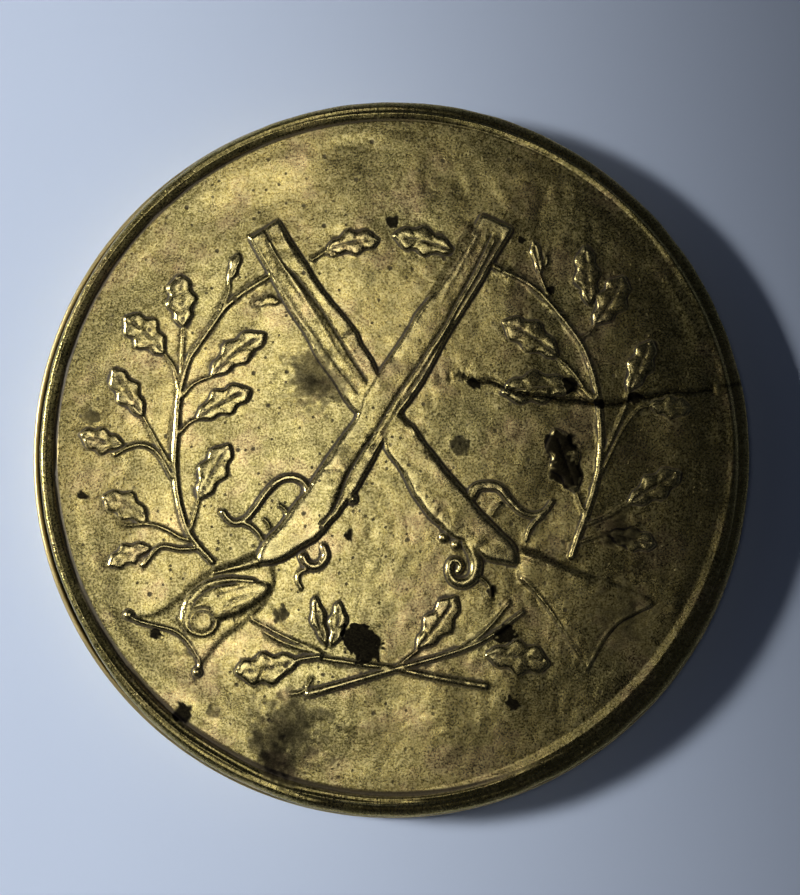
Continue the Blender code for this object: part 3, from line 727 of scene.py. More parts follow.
class Damage:
    """What age has done to the struck sheet: a crack, hairlines, stains and waviness, with one painted shadow
    beside the crack among the dark spots.

    A pair of sizes is the finest and the coarsest feature of a seeded waviness.
    """

    CRACK = (
        (1.8, 4.25), (2.4, 4.15), (2.9, 4.2), (3.7, 4.5), (4.05, 4.25), (4.6, 3.95), (5.3, 4.1),
        (6.0, 3.75), (6.6, 3.45), (7.3, 3.25), (8.4, 3.15), (9.4, 3.0), (10.2, 3.0), (10.9, 2.85),
        (11.7, 2.75), (12.9, 2.85), (13.6, 3.2), (14.3, 3.15), (15.2, 3.4), (16.4, 3.45), (17.4, 3.5),
        (18.5, 3.55))
    HAIRLINES = (
        ((-5.15, 15.2), (-4.95, 14.2), (-4.85, 13.3), (-4.65, 12.5)),
        ((8.7, 14.9), (8.35, 14.2), (8.0, 13.4)),
        ((4.5, 0.7), (5.4, 0.95)),
        ((1.8, 1.7), (2.4, 1.2)),
        ((-9.6, -7.9), (-12.2, -8.6)),
    )
    DARK_SPOTS = (
        DarkSpot((-2.3, -10.15), 0.72, 1.0),
        DarkSpot((-1.95, -10.65), 0.85, 1.0),
        DarkSpot((-1.6, -11.1), 0.75, 1.0),
        DarkSpot((6.2, -10.1), 0.62, 0.95),
        DarkSpot((-11.76, -14.4), 0.45, 0.75),
        DarkSpot((-9.97, -14.4), 0.45, 0.35),
        DarkSpot((-17.46, -2.43), 0.26, 0.75),
        DarkSpot((-2.6, -4.6), 0.28, 0.8),
        DarkSpot((-13.3, -10.1), 0.3, 0.7),
        DarkSpot((-16.9, 2.0), 0.42, 0.45),
        DarkSpot((-0.2, 12.95), 0.34, 0.6),
        DarkSpot((3.6, 0.35), 0.6, 0.45),
        DarkSpot((6.45, -13.95), 0.4, 0.7),
        DarkSpot((-6.35, -9.0), 0.42, 0.5),
        DarkSpot((5.3, -7.7), 0.38, 0.6),
        DarkSpot((9.75, 3.85), 0.5, 0.7),
        # A painted shadow beside the crack.
        DarkSpot((4.4, 3.85), 0.38, 0.75),
        DarkSpot((11.4, 2.8), 0.36, 0.9),
        DarkSpot((13.4, 3.1), 0.4, 0.6),
        DarkSpot((7.1, 11.95), 0.22, 0.7),
        DarkSpot((8.7, 9.15), 0.25, 0.75),
        DarkSpot((-5.95, -15.6), 2.2, 0.45, 0.6),
        DarkSpot((-6.4, -17.1), 1.3, 0.55, 0.5),
        DarkSpot((-4.6, 4.1), 1.8, 0.42, 0.7),
        DarkSpot((9.25, 0.2), 1.0, 0.66, 0.2),
        DarkSpot((9.55, -1.1), 0.95, 0.62, 0.2),
        DarkSpot((9.4, -0.45), 0.85, 0.66, 0.2),
        DarkSpot((12.4, -4.4), 1.2, 0.5, 0.5),
        DarkSpot((12.6, -9.6), 2.6, 0.4, 0.8),
    )
    CRACK_HALF_WIDTH = 0.055
    CRACK_DEPTH = 0.16
    CRACK_LIFT = 0.05
    CRACK_SEED = 5
    CRACK_SHAKE = 0.035
    CRACK_REACH = 0.8
    LIP_WIDTH = 0.3
    HAIR_HALF_WIDTH = 0.05
    HAIR_DEPTH = 0.03
    RAGGED_SEED = 7
    RAGGED_SIZES = (0.08, 0.5)
    RAGGED_SHARE = 0.16
    DRIFT_SEED = 8
    DRIFT_SIZES = (0.3, 1.2)
    DRIFT_SHARE = 0.14
    STAIN_REACH = 1.8
    WAVE_SEED = 11
    WAVE_SIZES = (1.1, 3.2)
    WAVE_HEIGHT = 0.022
    RIPPLE_SEED = 12
    RIPPLE_SIZES = (0.16, 0.5)
    RIPPLE_HEIGHT = 0.006

    def wear_in(self, die: Die) -> None:
        """Adds the waviness, crack, hairlines and stains, and the painted shadow beside the crack.

        Args:
            die: The die whose rasters are worn.
        """
        waves = die.rolling(self.WAVE_SEED, *self.WAVE_SIZES) * self.WAVE_HEIGHT
        die.height += waves + die.rolling(self.RIPPLE_SEED, *self.RIPPLE_SIZES) * self.RIPPLE_HEIGHT
        self.split(die)
        for points in self.HAIRLINES:
            Score(points, self.HAIR_HALF_WIDTH, self.HAIR_DEPTH).strike(die)
        edges = die.rolling(self.RAGGED_SEED, *self.RAGGED_SIZES)
        drift = die.rolling(self.DRIFT_SEED, *self.DRIFT_SIZES)
        for spot in self.DARK_SPOTS:
            middle = np.array(spot.middle)
            reach = self.STAIN_REACH * spot.radius
            place, x, y = die.window(middle - reach, middle + reach)
            gap = np.hypot(x - middle[0], y - middle[1]) / spot.radius
            gap = gap + self.RAGGED_SHARE * edges[place] + self.DRIFT_SHARE * drift[place]
            mark = spot.strength * (1.0 - eased(gap, 0.85 - spot.soft, 1.05 + spot.soft))
            die.stain_and_shadow[place] = np.maximum(die.stain_and_shadow[place], mark)

    def split(self, die: Die) -> None:
        """Opens the crack: a sharp trough whose lower lip stands a little proud.

        Args:
            die: The die whose rasters are worn.
        """
        knots = smooth_route(self.CRACK, spans=6)
        shake = np.random.default_rng(self.CRACK_SEED).normal(0.0, self.CRACK_SHAKE, knots.shape)
        route = knots + shake
        place, x, y = die.window(route.min(axis=0) - self.CRACK_REACH, route.max(axis=0) + self.CRACK_REACH)
        gap, along = from_route(route, x, y)
        middle_y = np.interp(x, route[:, 0], route[:, 1])
        opening = self.CRACK_HALF_WIDTH * (0.6 + 0.9 * eased(along, 0.0, 0.5))
        trough = bell(gap, opening) * eased(along, 0.0, 0.1)
        lip = np.exp(-gap / self.LIP_WIDTH) * (y < middle_y) * (along > 0.02)
        die.height[place] += self.CRACK_LIFT * lip - self.CRACK_DEPTH * trough
        die.crack[place] = np.maximum(die.crack[place], trough)


# ---------------------------------------------------------------------------------------------
# Finishes
# ---------------------------------------------------------------------------------------------

Feed = Union["Socket", float]


@dataclass(frozen=True)
class Socket:
    """An output of a shader node, for use in Python expressions."""

    graph: "Graph"
    link: bpy.types.NodeSocket

    def _with(self, operation: str, first: Feed, second: Feed) -> "Socket":
        """A Math node on two numbers."""
        return self.graph.node("ShaderNodeMath", {"operation": operation}, {0: first, 1: second})

    def __add__(self, other: Feed) -> "Socket":
        """The sum."""
        return self._with("ADD", self, other)

    __radd__ = __add__

    def __sub__(self, other: Feed) -> "Socket":
        """The difference."""
        return self._with("SUBTRACT", self, other)

    def __rsub__(self, other: Feed) -> "Socket":
        """The difference the other way round."""
        return self._with("SUBTRACT", other, self)

    def __mul__(self, other: Feed) -> "Socket":
        """The product."""
        return self._with("MULTIPLY", self, other)

    __rmul__ = __mul__

    def __gt__(self, other: Feed) -> "Socket":
        """1 where this is the greater, else 0."""
        return self._with("GREATER_THAN", self, other)

    def larger(self, other: Feed) -> "Socket":
        """The larger of the two."""
        return self._with("MAXIMUM", self, other)

    def eased(self, low: float, high: float) -> "Socket":
        """Takes this through a smooth step.

        Args:
            low: Where the step starts, at 0.
            high: Where it ends, at 1.

        Returns:
            The step.
        """
        return self.graph.node(
            "ShaderNodeMapRange",
            {"interpolation_type": "SMOOTHSTEP"},
            {"Value": self, "From Min": low, "From Max": high},
        )


class Graph:
    """A material's node tree, written through a few short calls."""

    def __init__(self, name: str) -> None:
        """Starts a material with only its output and a Principled shader.

        Args:
            name: The material's name.
        """
        self.material = bpy.data.materials.new(name)
        self.material.use_nodes = True
        self.tree = self.material.node_tree
        self.shader = self.tree.nodes["Principled BSDF"]
        place = self.tree.nodes.new("ShaderNodeTexCoord")
        self.place = Socket(self, place.outputs["Object"])

    def feed(self, target: bpy.types.NodeSocket, value: object) -> None:
        """Links a socket to a node's output, or sets it to a value.

        Args:
            target: The socket.
            value: What it gets: another node's output, a colour or a number.
        """
        if isinstance(value, Socket):
            self.tree.links.new(value.link, target)
        elif isinstance(value, tuple) and len(value) == 3 and target.type == "RGBA":
            target.default_value = (*value, 1.0)
        else:
            target.default_value = value

    def node(self, kind: str, settings: dict, inputs: dict, output: Union[int, str] = 0) -> Socket:
        """Adds a node.

        Args:
            kind: The node's type.
            settings: Its own settings, set first.
            inputs: Values or links for its sockets, by name or place.
            output: The output that is wanted.

        Returns:
            That output.
        """
        made = self.tree.nodes.new(kind)
        for name, value in settings.items():
            setattr(made, name, value)
        for name, value in inputs.items():
            self.feed(made.inputs[name], value)
        return Socket(self, made.outputs[output])

    def mix(self, share: Feed, first: object, second: object) -> Socket:
        """Blends two colours.

        Args:
            share: The second colour's share.
            first: The colour, or colour socket, at 0.
            second: The one at 1.

        Returns:
            The blend.
        """
        return self.node("ShaderNodeMix", {"data_type": "RGBA"}, {0: share, 6: first, 7: second}, 2)

    def noise_at(self, place: Socket, detail: float, rough: float, scale: float = 1.0) -> Socket:
        """Makes noise over any coordinates.

        Args:
            place: The coordinates.
            detail: How many finer layers are added.
            rough: Each finer layer's strength against the last.
            scale: What the coordinates are multiplied by.

        Returns:
            The noise, about 0.5 on average.
        """
        inputs = {"Vector": place, "Scale": scale, "Detail": detail, "Roughness": rough}
        return self.node("ShaderNodeTexNoise", {}, inputs)

    def noise(self, per_mm: float, detail: float, rough: float) -> Socket:
        """Noise over the object's own coordinates, with so many features to the millimetre."""
        return self.noise_at(self.place, detail, rough, per_mm / MM)

    def stretched(self, scale: tuple[float, float, float], turn: float) -> Socket:
        """Stretches the object's own coordinates.

        Args:
            scale: The stretch along each axis.
            turn: How far they are turned about Z first, in radians.

        Returns:
            The stretched coordinates.
        """
        settings = {"vector_type": "POINT"}
        inputs = {"Vector": self.place, "Rotation": (0.0, 0.0, turn), "Scale": scale}
        return self.node("ShaderNodeMapping", settings, inputs)

    def round_place(self, per_turn: float, per_mm: float) -> Socket:
        """Makes coordinates that run round the medal, for marks that lie along its radius.

        Args:
            per_turn: How many features there are to a radian of the turn.
            per_mm: How many there are to the millimetre outward and upward.

        Returns:
            The coordinates.
        """
        parts = self.tree.nodes.new("ShaderNodeSeparateXYZ")
        self.feed(parts.inputs["Vector"], self.place)
        x, y, z = (Socket(self, parts.outputs[axis]) for axis in "XYZ")
        turn = self.node("ShaderNodeMath", {"operation": "ARCTAN2"}, {0: y, 1: x})
        reach = self.node("ShaderNodeMath", {"operation": "SQRT"}, {0: x * x + y * y})
        inputs = {"X": turn * per_turn, "Y": reach * (per_mm / MM), "Z": z * (per_mm / MM)}
        return self.node("ShaderNodeCombineXYZ", {}, inputs)

    def specks(self, per_mm: float, size: float, kept: float) -> Socket:
        """Scattered round specks.

        Args:
            per_mm: How many cells there are to the millimetre.
            size: A speck's radius, as a share of its cell.
            kept: The share of cells that hold a speck.

        Returns:
            1 inside a speck, fading to 0 outside.
        """
        inputs = {"Vector": self.place, "Scale": per_mm / MM, "Randomness": 1.0}
        cells = self.tree.nodes.new("ShaderNodeTexVoronoi")
        for name, value in inputs.items():
            self.feed(cells.inputs[name], value)
        gap = Socket(self, cells.outputs["Distance"])
        tone = Socket(self, cells.outputs["Color"])
        pick = self.node("ShaderNodeSeparateColor", {}, {"Color": tone})
        return (1.0 - gap.eased(0.4 * size, size)) * (pick > 1.0 - kept)

    def attribute(self, name: str) -> Socket:
        """A value that the mesh carries at its points."""
        return self.node("ShaderNodeAttribute", {"attribute_name": name}, {}, "Fac")

    def bumped(self, height: Socket, depth: float) -> Socket:
        """Turns a height map into a normal.

        Args:
            height: The height map.
            depth: How deep its full range is, in millimetres.

        Returns:
            The normal.
        """
        inputs = {"Strength": 1.0, "Distance": depth * MM, "Height": height}
        return self.node("ShaderNodeBump", {}, inputs)

    def finish(self, **sockets: object) -> bpy.types.Material:
        """Feeds the Principled shader.

        Args:
            sockets: Values or links for its sockets, by name with underscores for spaces.

        Returns:
            The finished material.
        """
        for name, value in sockets.items():
            self.feed(self.shader.inputs[name.replace("_", " ")], value)
        return self.material


@dataclass(frozen=True)
class AgedBrass:
    """Old stamped brass: olive tarnish, rubbed highs, grime in the hollows, pits and stains, with painted
    shade in the rim's groove, at the seam and in the crack, and one painted shadow beside the crack.
    """

    rubbed: Colour = (0.81, 0.645, 0.28)
    plain: Colour = (0.54, 0.40, 0.122)
    olive: Colour = (0.285, 0.228, 0.070)
    copper: Colour = (0.50, 0.31, 0.17)
    # Dark tone of grime, also laid on as painted shade.
    grime_and_shade_tone: Colour = (0.040, 0.026, 0.012)
    black: Colour = (0.006, 0.005, 0.005)
    roughness: float = 0.29
    bump: float = 0.026

    def material(self, name: str) -> bpy.types.Material:
        """Mixes the finish from the mesh's own marks and layers of noise.

        Args:
            name: The material's name.

        Returns:
            The material.
        """
        graph = Graph(name)
        hollow = graph.attribute("hollow")
        high = graph.attribute("high")
        band = graph.attribute("band")
        stain_and_shadow = graph.attribute("stain_and_shadow")
        crack = graph.attribute("crack")

        cloud = graph.noise(0.16, 5.0, 0.62)
        mottle = graph.noise(0.9, 5.0, 0.70)
        blotch = graph.noise(2.4, 4.0, 0.65)
        grain = graph.noise(9.0, 2.0, 0.75)
        tint = graph.noise(0.33, 4.0, 0.65)
        grain = 0.5 + (grain - 0.5) * (0.35 + mottle * 1.3)
        pits = graph.specks(1.05, 0.17, 0.32).larger(graph.specks(2.7, 0.26, 0.22) * 0.85)

        metal = graph.mix(cloud.eased(0.38, 0.64), self.olive, self.plain)
        metal = graph.mix(mottle.eased(0.48, 0.70) * 0.60, metal, self.olive)
        metal = graph.mix(tint.eased(0.50, 0.66) * 0.50, metal, self.copper)
        metal = graph.mix(blotch.eased(0.50, 0.72) * 0.45, metal, self.rubbed)
        metal = graph.mix((1.0 - blotch.eased(0.28, 0.46)) * 0.50, metal, self.grime_and_shade_tone)
        metal = graph.mix(grain.eased(0.48, 0.62) * 0.70, metal, self.rubbed)
        metal = graph.mix((1.0 - grain.eased(0.34, 0.52)) * 0.62, metal, self.grime_and_shade_tone)
        metal = graph.mix(high.eased(0.15, 0.85) * (0.05 + grain * 0.85), metal, self.rubbed)
        scratches = graph.noise_at(graph.round_place(95.0, 0.5), 3.0, 0.65)
        streaks = (scratches - 0.5) * band
        metal = graph.mix(band * (0.45 + (0.5 - scratches) * 1.6), metal, self.olive)

        # Grime in the relief's hollows, together with painted shade in the rim's groove and at the seam with
        # the back, darkens the metal here.
        grime_and_shade = (hollow * 1.5 + (mottle - 0.5) * 0.5).eased(0.25, 1.05)
        metal = graph.mix(grime_and_shade * 0.92, metal, self.grime_and_shade_tone)
        metal = graph.mix(pits * 0.80, metal, self.grime_and_shade_tone)
        # Stains go nearly black; among them is the painted shadow beside the crack.
        ragged = (stain_and_shadow + (mottle - 0.5) * 0.55 + (grain - 0.5) * 0.25) * stain_and_shadow.eased(0.0, 0.2)
        spot = ragged.eased(0.10, 0.62)
        metal = graph.mix(spot * 0.96, metal, self.black)
        # The crack's slit is painted black: painted shade.
        metal = graph.mix(crack, metal, self.black)

        dull = grime_and_shade.larger(spot).larger(pits * 0.6)
        rough = self.roughness + (mottle - 0.5) * 0.24 + (grain - 0.5) * 0.24 + dull * 0.32 - high * 0.04
        relief = grain * 0.20 + blotch * 0.30 + mottle * 0.40 - pits * 0.55 + spot * 0.25 + streaks * 1.6
        return graph.finish(
            Base_Color=metal,
            Metallic=1.0 - dull * (1.0 - spot.larger(crack)) * 0.85,
            Roughness=rough,
            Normal=graph.bumped(relief, self.bump),
        )


@dataclass(frozen=True)
class SheetBrass:
    """Plain rolled brass sheet, tarnished and lightly scuffed, with painted shade and a painted highlight
    where the mesh's marks ask for them.
    """

    bright: Colour = (0.62, 0.47, 0.21)
    plain: Colour = (0.42, 0.31, 0.12)
    olive: Colour = (0.24, 0.19, 0.075)
    grime_and_shade_tone: Colour = (0.030, 0.022, 0.008)
    roughness: float = 0.38

    def material(self, name: str) -> bpy.types.Material:
        """Mixes the finish from noise, rolling lines and the mesh's own marks.

        Args:
            name: The material's name.

        Returns:
            The material.
        """
        graph = Graph(name)
        hollow = graph.attribute("hollow")
        high = graph.attribute("high")
        cloud = graph.noise(0.12, 5.0, 0.6)
        mottle = graph.noise(0.8, 5.0, 0.66)
        grain = graph.noise(8.0, 3.0, 0.6)
        rolling = graph.noise_at(graph.stretched((250.0, 6000.0, 250.0), 0.5), 4.0, 0.6)
        pits = graph.specks(0.9, 0.16, 0.25)
        metal = graph.mix(cloud.eased(0.36, 0.66), self.olive, self.plain)
        metal = graph.mix(mottle.eased(0.50, 0.75) * 0.35, metal, self.olive)
        metal = graph.mix(rolling.eased(0.45, 0.75) * 0.30, metal, self.bright)
        # The high mark lightens rubbed places and lays a painted highlight on the lip; the hollow mark
        # darkens the hidden inside as painted shade.
        metal = graph.mix(high.eased(0.2, 0.9) * 0.7, metal, self.bright)
        grime_and_shade = (hollow * 1.4 + (mottle - 0.5) * 0.4).eased(0.25, 1.0).larger(pits * 0.8)
        metal = graph.mix(grime_and_shade * 0.9, metal, self.grime_and_shade_tone)
        rough = self.roughness + (mottle - 0.5) * 0.3 + (rolling - 0.5) * 0.15 + grime_and_shade * 0.3
        relief = grain * 0.3 + mottle * 0.4 + rolling * 0.35 - pits * 0.4
        return graph.finish(
            Base_Color=metal,
            Metallic=1.0 - grime_and_shade * 0.8,
            Roughness=rough,
            Normal=graph.bumped(relief, 0.03),
        )


@dataclass(frozen=True)
class Pasteboard:
    """Grey-brown pressed packing board."""

    pale: Colour = (0.38, 0.29, 0.18)
    dark: Colour = (0.22, 0.16, 0.10)

    def material(self, name: str) -> bpy.types.Material:
        """Mixes the board from flecks and felted fibres.

        Args:
            name: The material's name.

        Returns:
            The material.
        """
        graph = Graph(name)
        fleck = graph.noise(3.0, 4.0, 0.7)
        fibre = graph.noise_at(graph.stretched((800.0, 5000.0, 800.0), 0.9), 3.0, 0.6)
        board = graph.mix(fleck.eased(0.35, 0.65), self.dark, self.pale)
        board = graph.mix(fibre.eased(0.55, 0.75) * 0.4, board, self.pale)
        return graph.finish(
            Base_Color=board,
            Roughness=0.86 + (fleck - 0.5) * 0.1,
            Metallic=0.0,
            Normal=graph.bumped(fleck * 0.6 + fibre * 0.4, 0.05),
        )


@dataclass(frozen=True)
class PaleGround:
    """A plain pale matt surface."""

    colour: Colour = (0.72, 0.795, 0.96)

    def material(self, name: str) -> bpy.types.Material:
        """Mixes a nearly even matt colour.

        Args:
            name: The material's name.

        Returns:
            The material.
        """
        graph = Graph(name)
        soft = graph.noise(0.05, 2.0, 0.5)
        shade = graph.mix(soft, self.colour, tuple(0.97 * part for part in self.colour))
        return graph.finish(Base_Color=shade, Roughness=0.9, Metallic=0.0)


# ---------------------------------------------------------------------------------------------
# Pieces
# ---------------------------------------------------------------------------------------------


def disc_from_square(a: np.ndarray, b: np.ndarray) -> tuple[np.ndarray, np.ndarray]:
    """Maps a square from -1 to 1 onto the unit disc, with its border evenly spaced round the rim.

    Args:
        a: Places across the square.
        b: Places up the square.

    Returns:
        The x and y of the same places on the disc.
    """
    wide = np.abs(a) > np.abs(b)
    radius = np.where(wide, a, b)
    safe_a = np.where(wide, a, 1.0)
    safe_b = np.where(wide | (b == 0.0), 1.0, b)
    angle = np.where(wide, 0.25 * math.pi * b / safe_a, 0.5 * math.pi - 0.25 * math.pi * a / safe_b)
    return radius * np.cos(angle), radius * np.sin(angle)


def arc(middle: Point, radius: float, start: float, end: float, steps: int) -> list[Point]:
    """Lays points along an arc of a turned profile.

    Args:
        middle: The arc's middle.
        radius: Its radius.
        start: The angle of its first point, in degrees.
        end: The angle of its last.
        steps: How many steps it takes.

    Returns:
        The points, both ends included.
    """
    angles = [math.radians(start + (end - start) * i / steps) for i in range(steps + 1)]
    return [(middle[0] + radius * math.cos(t), middle[1] + radius * math.sin(t)) for t in angles]


def turned_mesh(name: str, profile: Sequence[Point], steps: int) -> bpy.types.Mesh:
    """Turns a profile once round Z.

    Args:
        name: The mesh's name.
        profile: Radius and height of the profile's points, in millimetres.
        steps: How many steps the turn takes.

    Returns:
        The turned mesh, still in millimetres.
    """
    shape = bmesh.new()
    corners = [shape.verts.new((r, 0.0, z)) for r, z in profile]
    edges = [shape.edges.new(pair) for pair in zip(corners, corners[1:])]
    bmesh.ops.spin(
        shape, geom=corners + edges, cent=(0.0, 0.0, 0.0), axis=(0.0, 0.0, 1.0),
        angle=2.0 * math.pi, steps=steps, use_merge=True)
    return closed_mesh(name, shape)


def closed_mesh(name: str, shape: bmesh.types.BMesh) -> bpy.types.Mesh:
    """Merges doubled points, turns the faces outward and hands the shape over as a mesh.

    Args:
        name: The mesh's name.
        shape: The shape, which is freed.

    Returns:
        The mesh.
    """
    bmesh.ops.remove_doubles(shape, verts=shape.verts, dist=MERGE_WITHIN)
    bmesh.ops.recalc_face_normals(shape, faces=shape.faces)
    mesh = bpy.data.meshes.new(name)
    shape.to_mesh(mesh)
    shape.free()
    return mesh


def places_of(mesh: bpy.types.Mesh) -> np.ndarray:
    """Reads where a mesh's points are.

    Args:
        mesh: The mesh.

    Returns:
        The points, one per row.
    """
    flat = np.empty(len(mesh.vertices) * 3)
    mesh.vertices.foreach_get("co", flat)
    return flat.reshape(-1, 3)


def mark(mesh: bpy.types.Mesh, name: str, values: np.ndarray) -> None:
    """Gives the mesh a value at each of its points.

    Args:
        mesh: The mesh.
        name: What a finish reads the values by.
        values: The values.
    """
    layer = mesh.attributes.new(name, "FLOAT", "POINT")
    layer.data.foreach_set("value", np.ascontiguousarray(values, np.float32))


def add_piece(name: str, mesh: bpy.types.Mesh, material: bpy.types.Material) -> bpy.types.Object:
    """Links a finished, smooth-shaded mesh as a piece of the scene.

    Args:
        name: The piece's name.
        mesh: Its mesh.
        material: Its finish.

    Returns:
        The piece.
    """
    mesh.materials.append(material)
    mesh.shade_smooth()
    piece = bpy.data.objects.new(name, mesh)
    bpy.context.scene.collection.objects.link(piece)
    return piece


def round_waves(angle: np.ndarray, seed: int, lowest: int, highest: int) -> np.ndarray:
    """Makes seeded waviness round the medal.

    Args:
        angle: The angles, in radians.
        seed: What the waves' phases are drawn from.
        lowest: The fewest waves round the medal.
        highest: The most.

    Returns:
        The waviness at each angle, with a spread of 1 about 0.
    """
    source = np.random.default_rng(seed)
    total = np.zeros_like(angle)
    for count in range(lowest, highest + 1):
        total += math.sqrt(1.0 / count) * np.sin(count * angle + source.uniform(0.0, 2.0 * math.pi))
    return total / math.sqrt(sum(0.5 / count for count in range(lowest, highest + 1)))


@dataclass
class RimStation:
    """How the rim is struck at one angle, measured anticlockwise from +X in degrees."""

    angle: float
    groove: float
    rise: float
    bevel: float
    overhang: float
    slump: float
    folds: float = 0.0


@dataclass(frozen=True)
class Layout:
    """Where the sheet's points lie on the turn and on the die, and the part each belongs to."""

    place: np.ndarray
    radius: np.ndarray
    angle: np.ndarray
    x: np.ndarray
    y: np.ndarray
    below: np.ndarray
    carried: np.ndarray
    rim: np.ndarray
    rolled: np.ndarray
    outer: np.ndarray
    outward: np.ndarray
    inward: np.ndarray

    def top(self) -> np.ndarray:
        """The points of the sheet's upper side."""
        return self.carried | self.rim


@dataclass
class FaceShell:
    """The struck face: domed field with its relief, rolled rim and skirt, in one thin sheet."""

    node: str = "face_shell"
    field_radius: float = 18.5
    carried_radius: float = 18.0
    dome: float = 0.32
    sheet: float = 0.4
    roll: float = 0.38
    neck: float = 1.12
    shoulder: float = 1.30
    driven: float = 0.65
    grid: int = 128
    refinements: tuple[int, ...] = (5600, 11200)
    ring_pitch: float = 0.06
    bevel_width: float = 0.42
    crack_angle: float = 12.0
    groove_middle: float = 18.74
    groove_width: float = 0.075
    stations: tuple[RimStation, ...] = field(default_factory=lambda: (
        RimStation(0.0, 0.00, 0.01, 18.45, 0.25, 0.20),
        RimStation(30.0, 0.00, 0.01, 18.60, 0.29, 0.20),
        RimStation(60.0, 0.01, 0.05, 18.75, 0.29, 0.16),
        RimStation(85.0, 0.05, 0.10, 18.78, 0.25, 0.12),
        RimStation(105.0, 0.10, 0.12, 18.82, 0.19, 0.08),
        RimStation(130.0, 0.15, 0.13, 18.84, 0.08, 0.05),
        RimStation(150.0, 0.16, 0.12, 18.84, -0.06, 0.04),
        RimStation(180.0, 0.16, 0.12, 18.84, -0.10, 0.03),
        RimStation(210.0, 0.17, 0.14, 18.84, -0.06, 0.04),
        RimStation(228.0, 0.17, 0.16, 18.84, 0.16, 0.06, 0.012),
        RimStation(255.0, 0.15, 0.16, 18.82, 0.25, 0.08, 0.030),
        RimStation(280.0, 0.08, 0.11, 18.50, 0.22, 0.14, 0.025),
        RimStation(300.0, 0.02, 0.09, 18.16, 0.18, 0.22, 0.006),
        RimStation(325.0, 0.00, 0.08, 18.10, 0.17, 0.24),
        RimStation(345.0, 0.00, 0.04, 18.20, 0.21, 0.22),
    ))

    # Height of the sheet's upper side at the edge of the field.
    EDGE_HEIGHT = 2.5
    # How softly the sheet takes the die.
    SOFTNESS = 0.03
    # The relief dies away over this width at the edge of the carried field.
    FADE_WIDTH = 0.5
    # Cells this near to the carried field's edge are never split.
    CLEAR_WIDTH = 0.35
    # Grime starts and is full where the relief is this far below its surroundings.
    HOLLOW_SPREAD = 0.10
    HOLLOW_START = 0.004
    HOLLOW_RANGE = 0.022
    # Rubbing is full where the relief is this far above its wider surroundings.
    HIGH_SPREAD = 0.5
    HIGH_RANGE = 0.11
    # Seeds of the rim's waviness: groove, rise, dents, wander and ragged overhang.
    GROOVE_SEED, RISE_SEED, DENT_SEED, WANDER_SEED, RAGGED_SEED = 21, 22, 23, 24, 25
    GROOVE_SHAKE = 0.22
    RISE_SHAKE = 0.010
    WANDER = 0.03
    DENT = 0.012
    FOLD_START = 18.9
    FOLD_PITCH = 0.27
    SPLIT_DEPTH = 0.12
    SPLIT_WIDTH = 0.09

    def __post_init__(self) -> None:
        """Takes the overall sizes from the CAD node."""
        low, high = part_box(self.node)
        self.skirt_radius = 0.5 * (high[0] - low[0]) / MM
        self.foot = low[2] / MM
        self.crest = self.skirt_radius - self.roll
        self.die = Die()
        self.steps = 4 * self.grid

    def strike(self) -> None:
        """Strikes the whole design into the die's rasters, then softens it as sheet takes a die."""
        for motif in [*Wreath().motifs(), *Rifles().motifs()]:
            motif.strike(self.die)
        self.die.height *= self.driven
        self.relief = self.die.blurred(self.die.height, self.SOFTNESS)
        near = self.die.blurred(self.relief, self.HOLLOW_SPREAD)
        wide = self.die.blurred(self.relief, self.HIGH_SPREAD)
        self.hollow = np.clip((near - self.relief - self.HOLLOW_START) / self.HOLLOW_RANGE, 0.0, 1.0)
        self.high = np.clip((self.relief - wide) / self.HIGH_RANGE, 0.0, 1.0)
        Damage().wear_in(self.die)
        self.surface = self.die.blurred(self.die.height, self.SOFTNESS)

    def busy(self) -> np.ndarray:
        """Weighs how much detail each part of the die holds.

        Returns:
            The weight as a raster, 0 on plain field.
        """
        change = np.hypot(*np.gradient(self.relief, self.die.pitch))
        marks = np.hypot(*np.gradient(self.die.stain_and_shadow, self.die.pitch))
        return self.die.blurred(change, 0.09) + self.die.blurred(0.4 * self.die.crack, 0.08) + 0.12 * marks

    def refine(self, shape: bmesh.types.BMesh, busy: np.ndarray, count: int) -> None:
        """Splits the cells that hold the most detail in four.

        Args:
            shape: The grid, still square, with corners at -1 and 1.
            busy: The raster of detail.
            count: How many cells to split.
        """
        middles = np.array([cell.calc_center_median()[:2] for cell in shape.faces])
        x, y = disc_from_square(middles[:, 0], middles[:, 1])
        scale = self.carried_radius / DIE_SCALE
        detail = self.die.read(busy, x * scale, y * scale)
        clear_of_rim = np.hypot(x, y) * self.carried_radius < self.carried_radius - self.CLEAR_WIDTH
        detail = detail * clear_of_rim
        chosen = detail > np.partition(detail, -count)[-count]
        edges = {edge for cell, pick in zip(shape.faces, chosen) if pick for edge in cell.edges}
        bmesh.ops.subdivide_edges(shape, edges=list(edges), cuts=1, use_grid_fill=True)

    def station(self, name: str, angle: np.ndarray) -> np.ndarray:
        """Blends one of the rim's measures between its stations.

        Args:
            name: The measure.
            angle: The angles, in radians.

        Returns:
            The measure at each angle.
        """
        turn = np.degrees(angle) % 360.0
        at = [spot.angle for spot in self.stations]
        return np.interp(turn, at, [getattr(spot, name) for spot in self.stations], period=360.0)

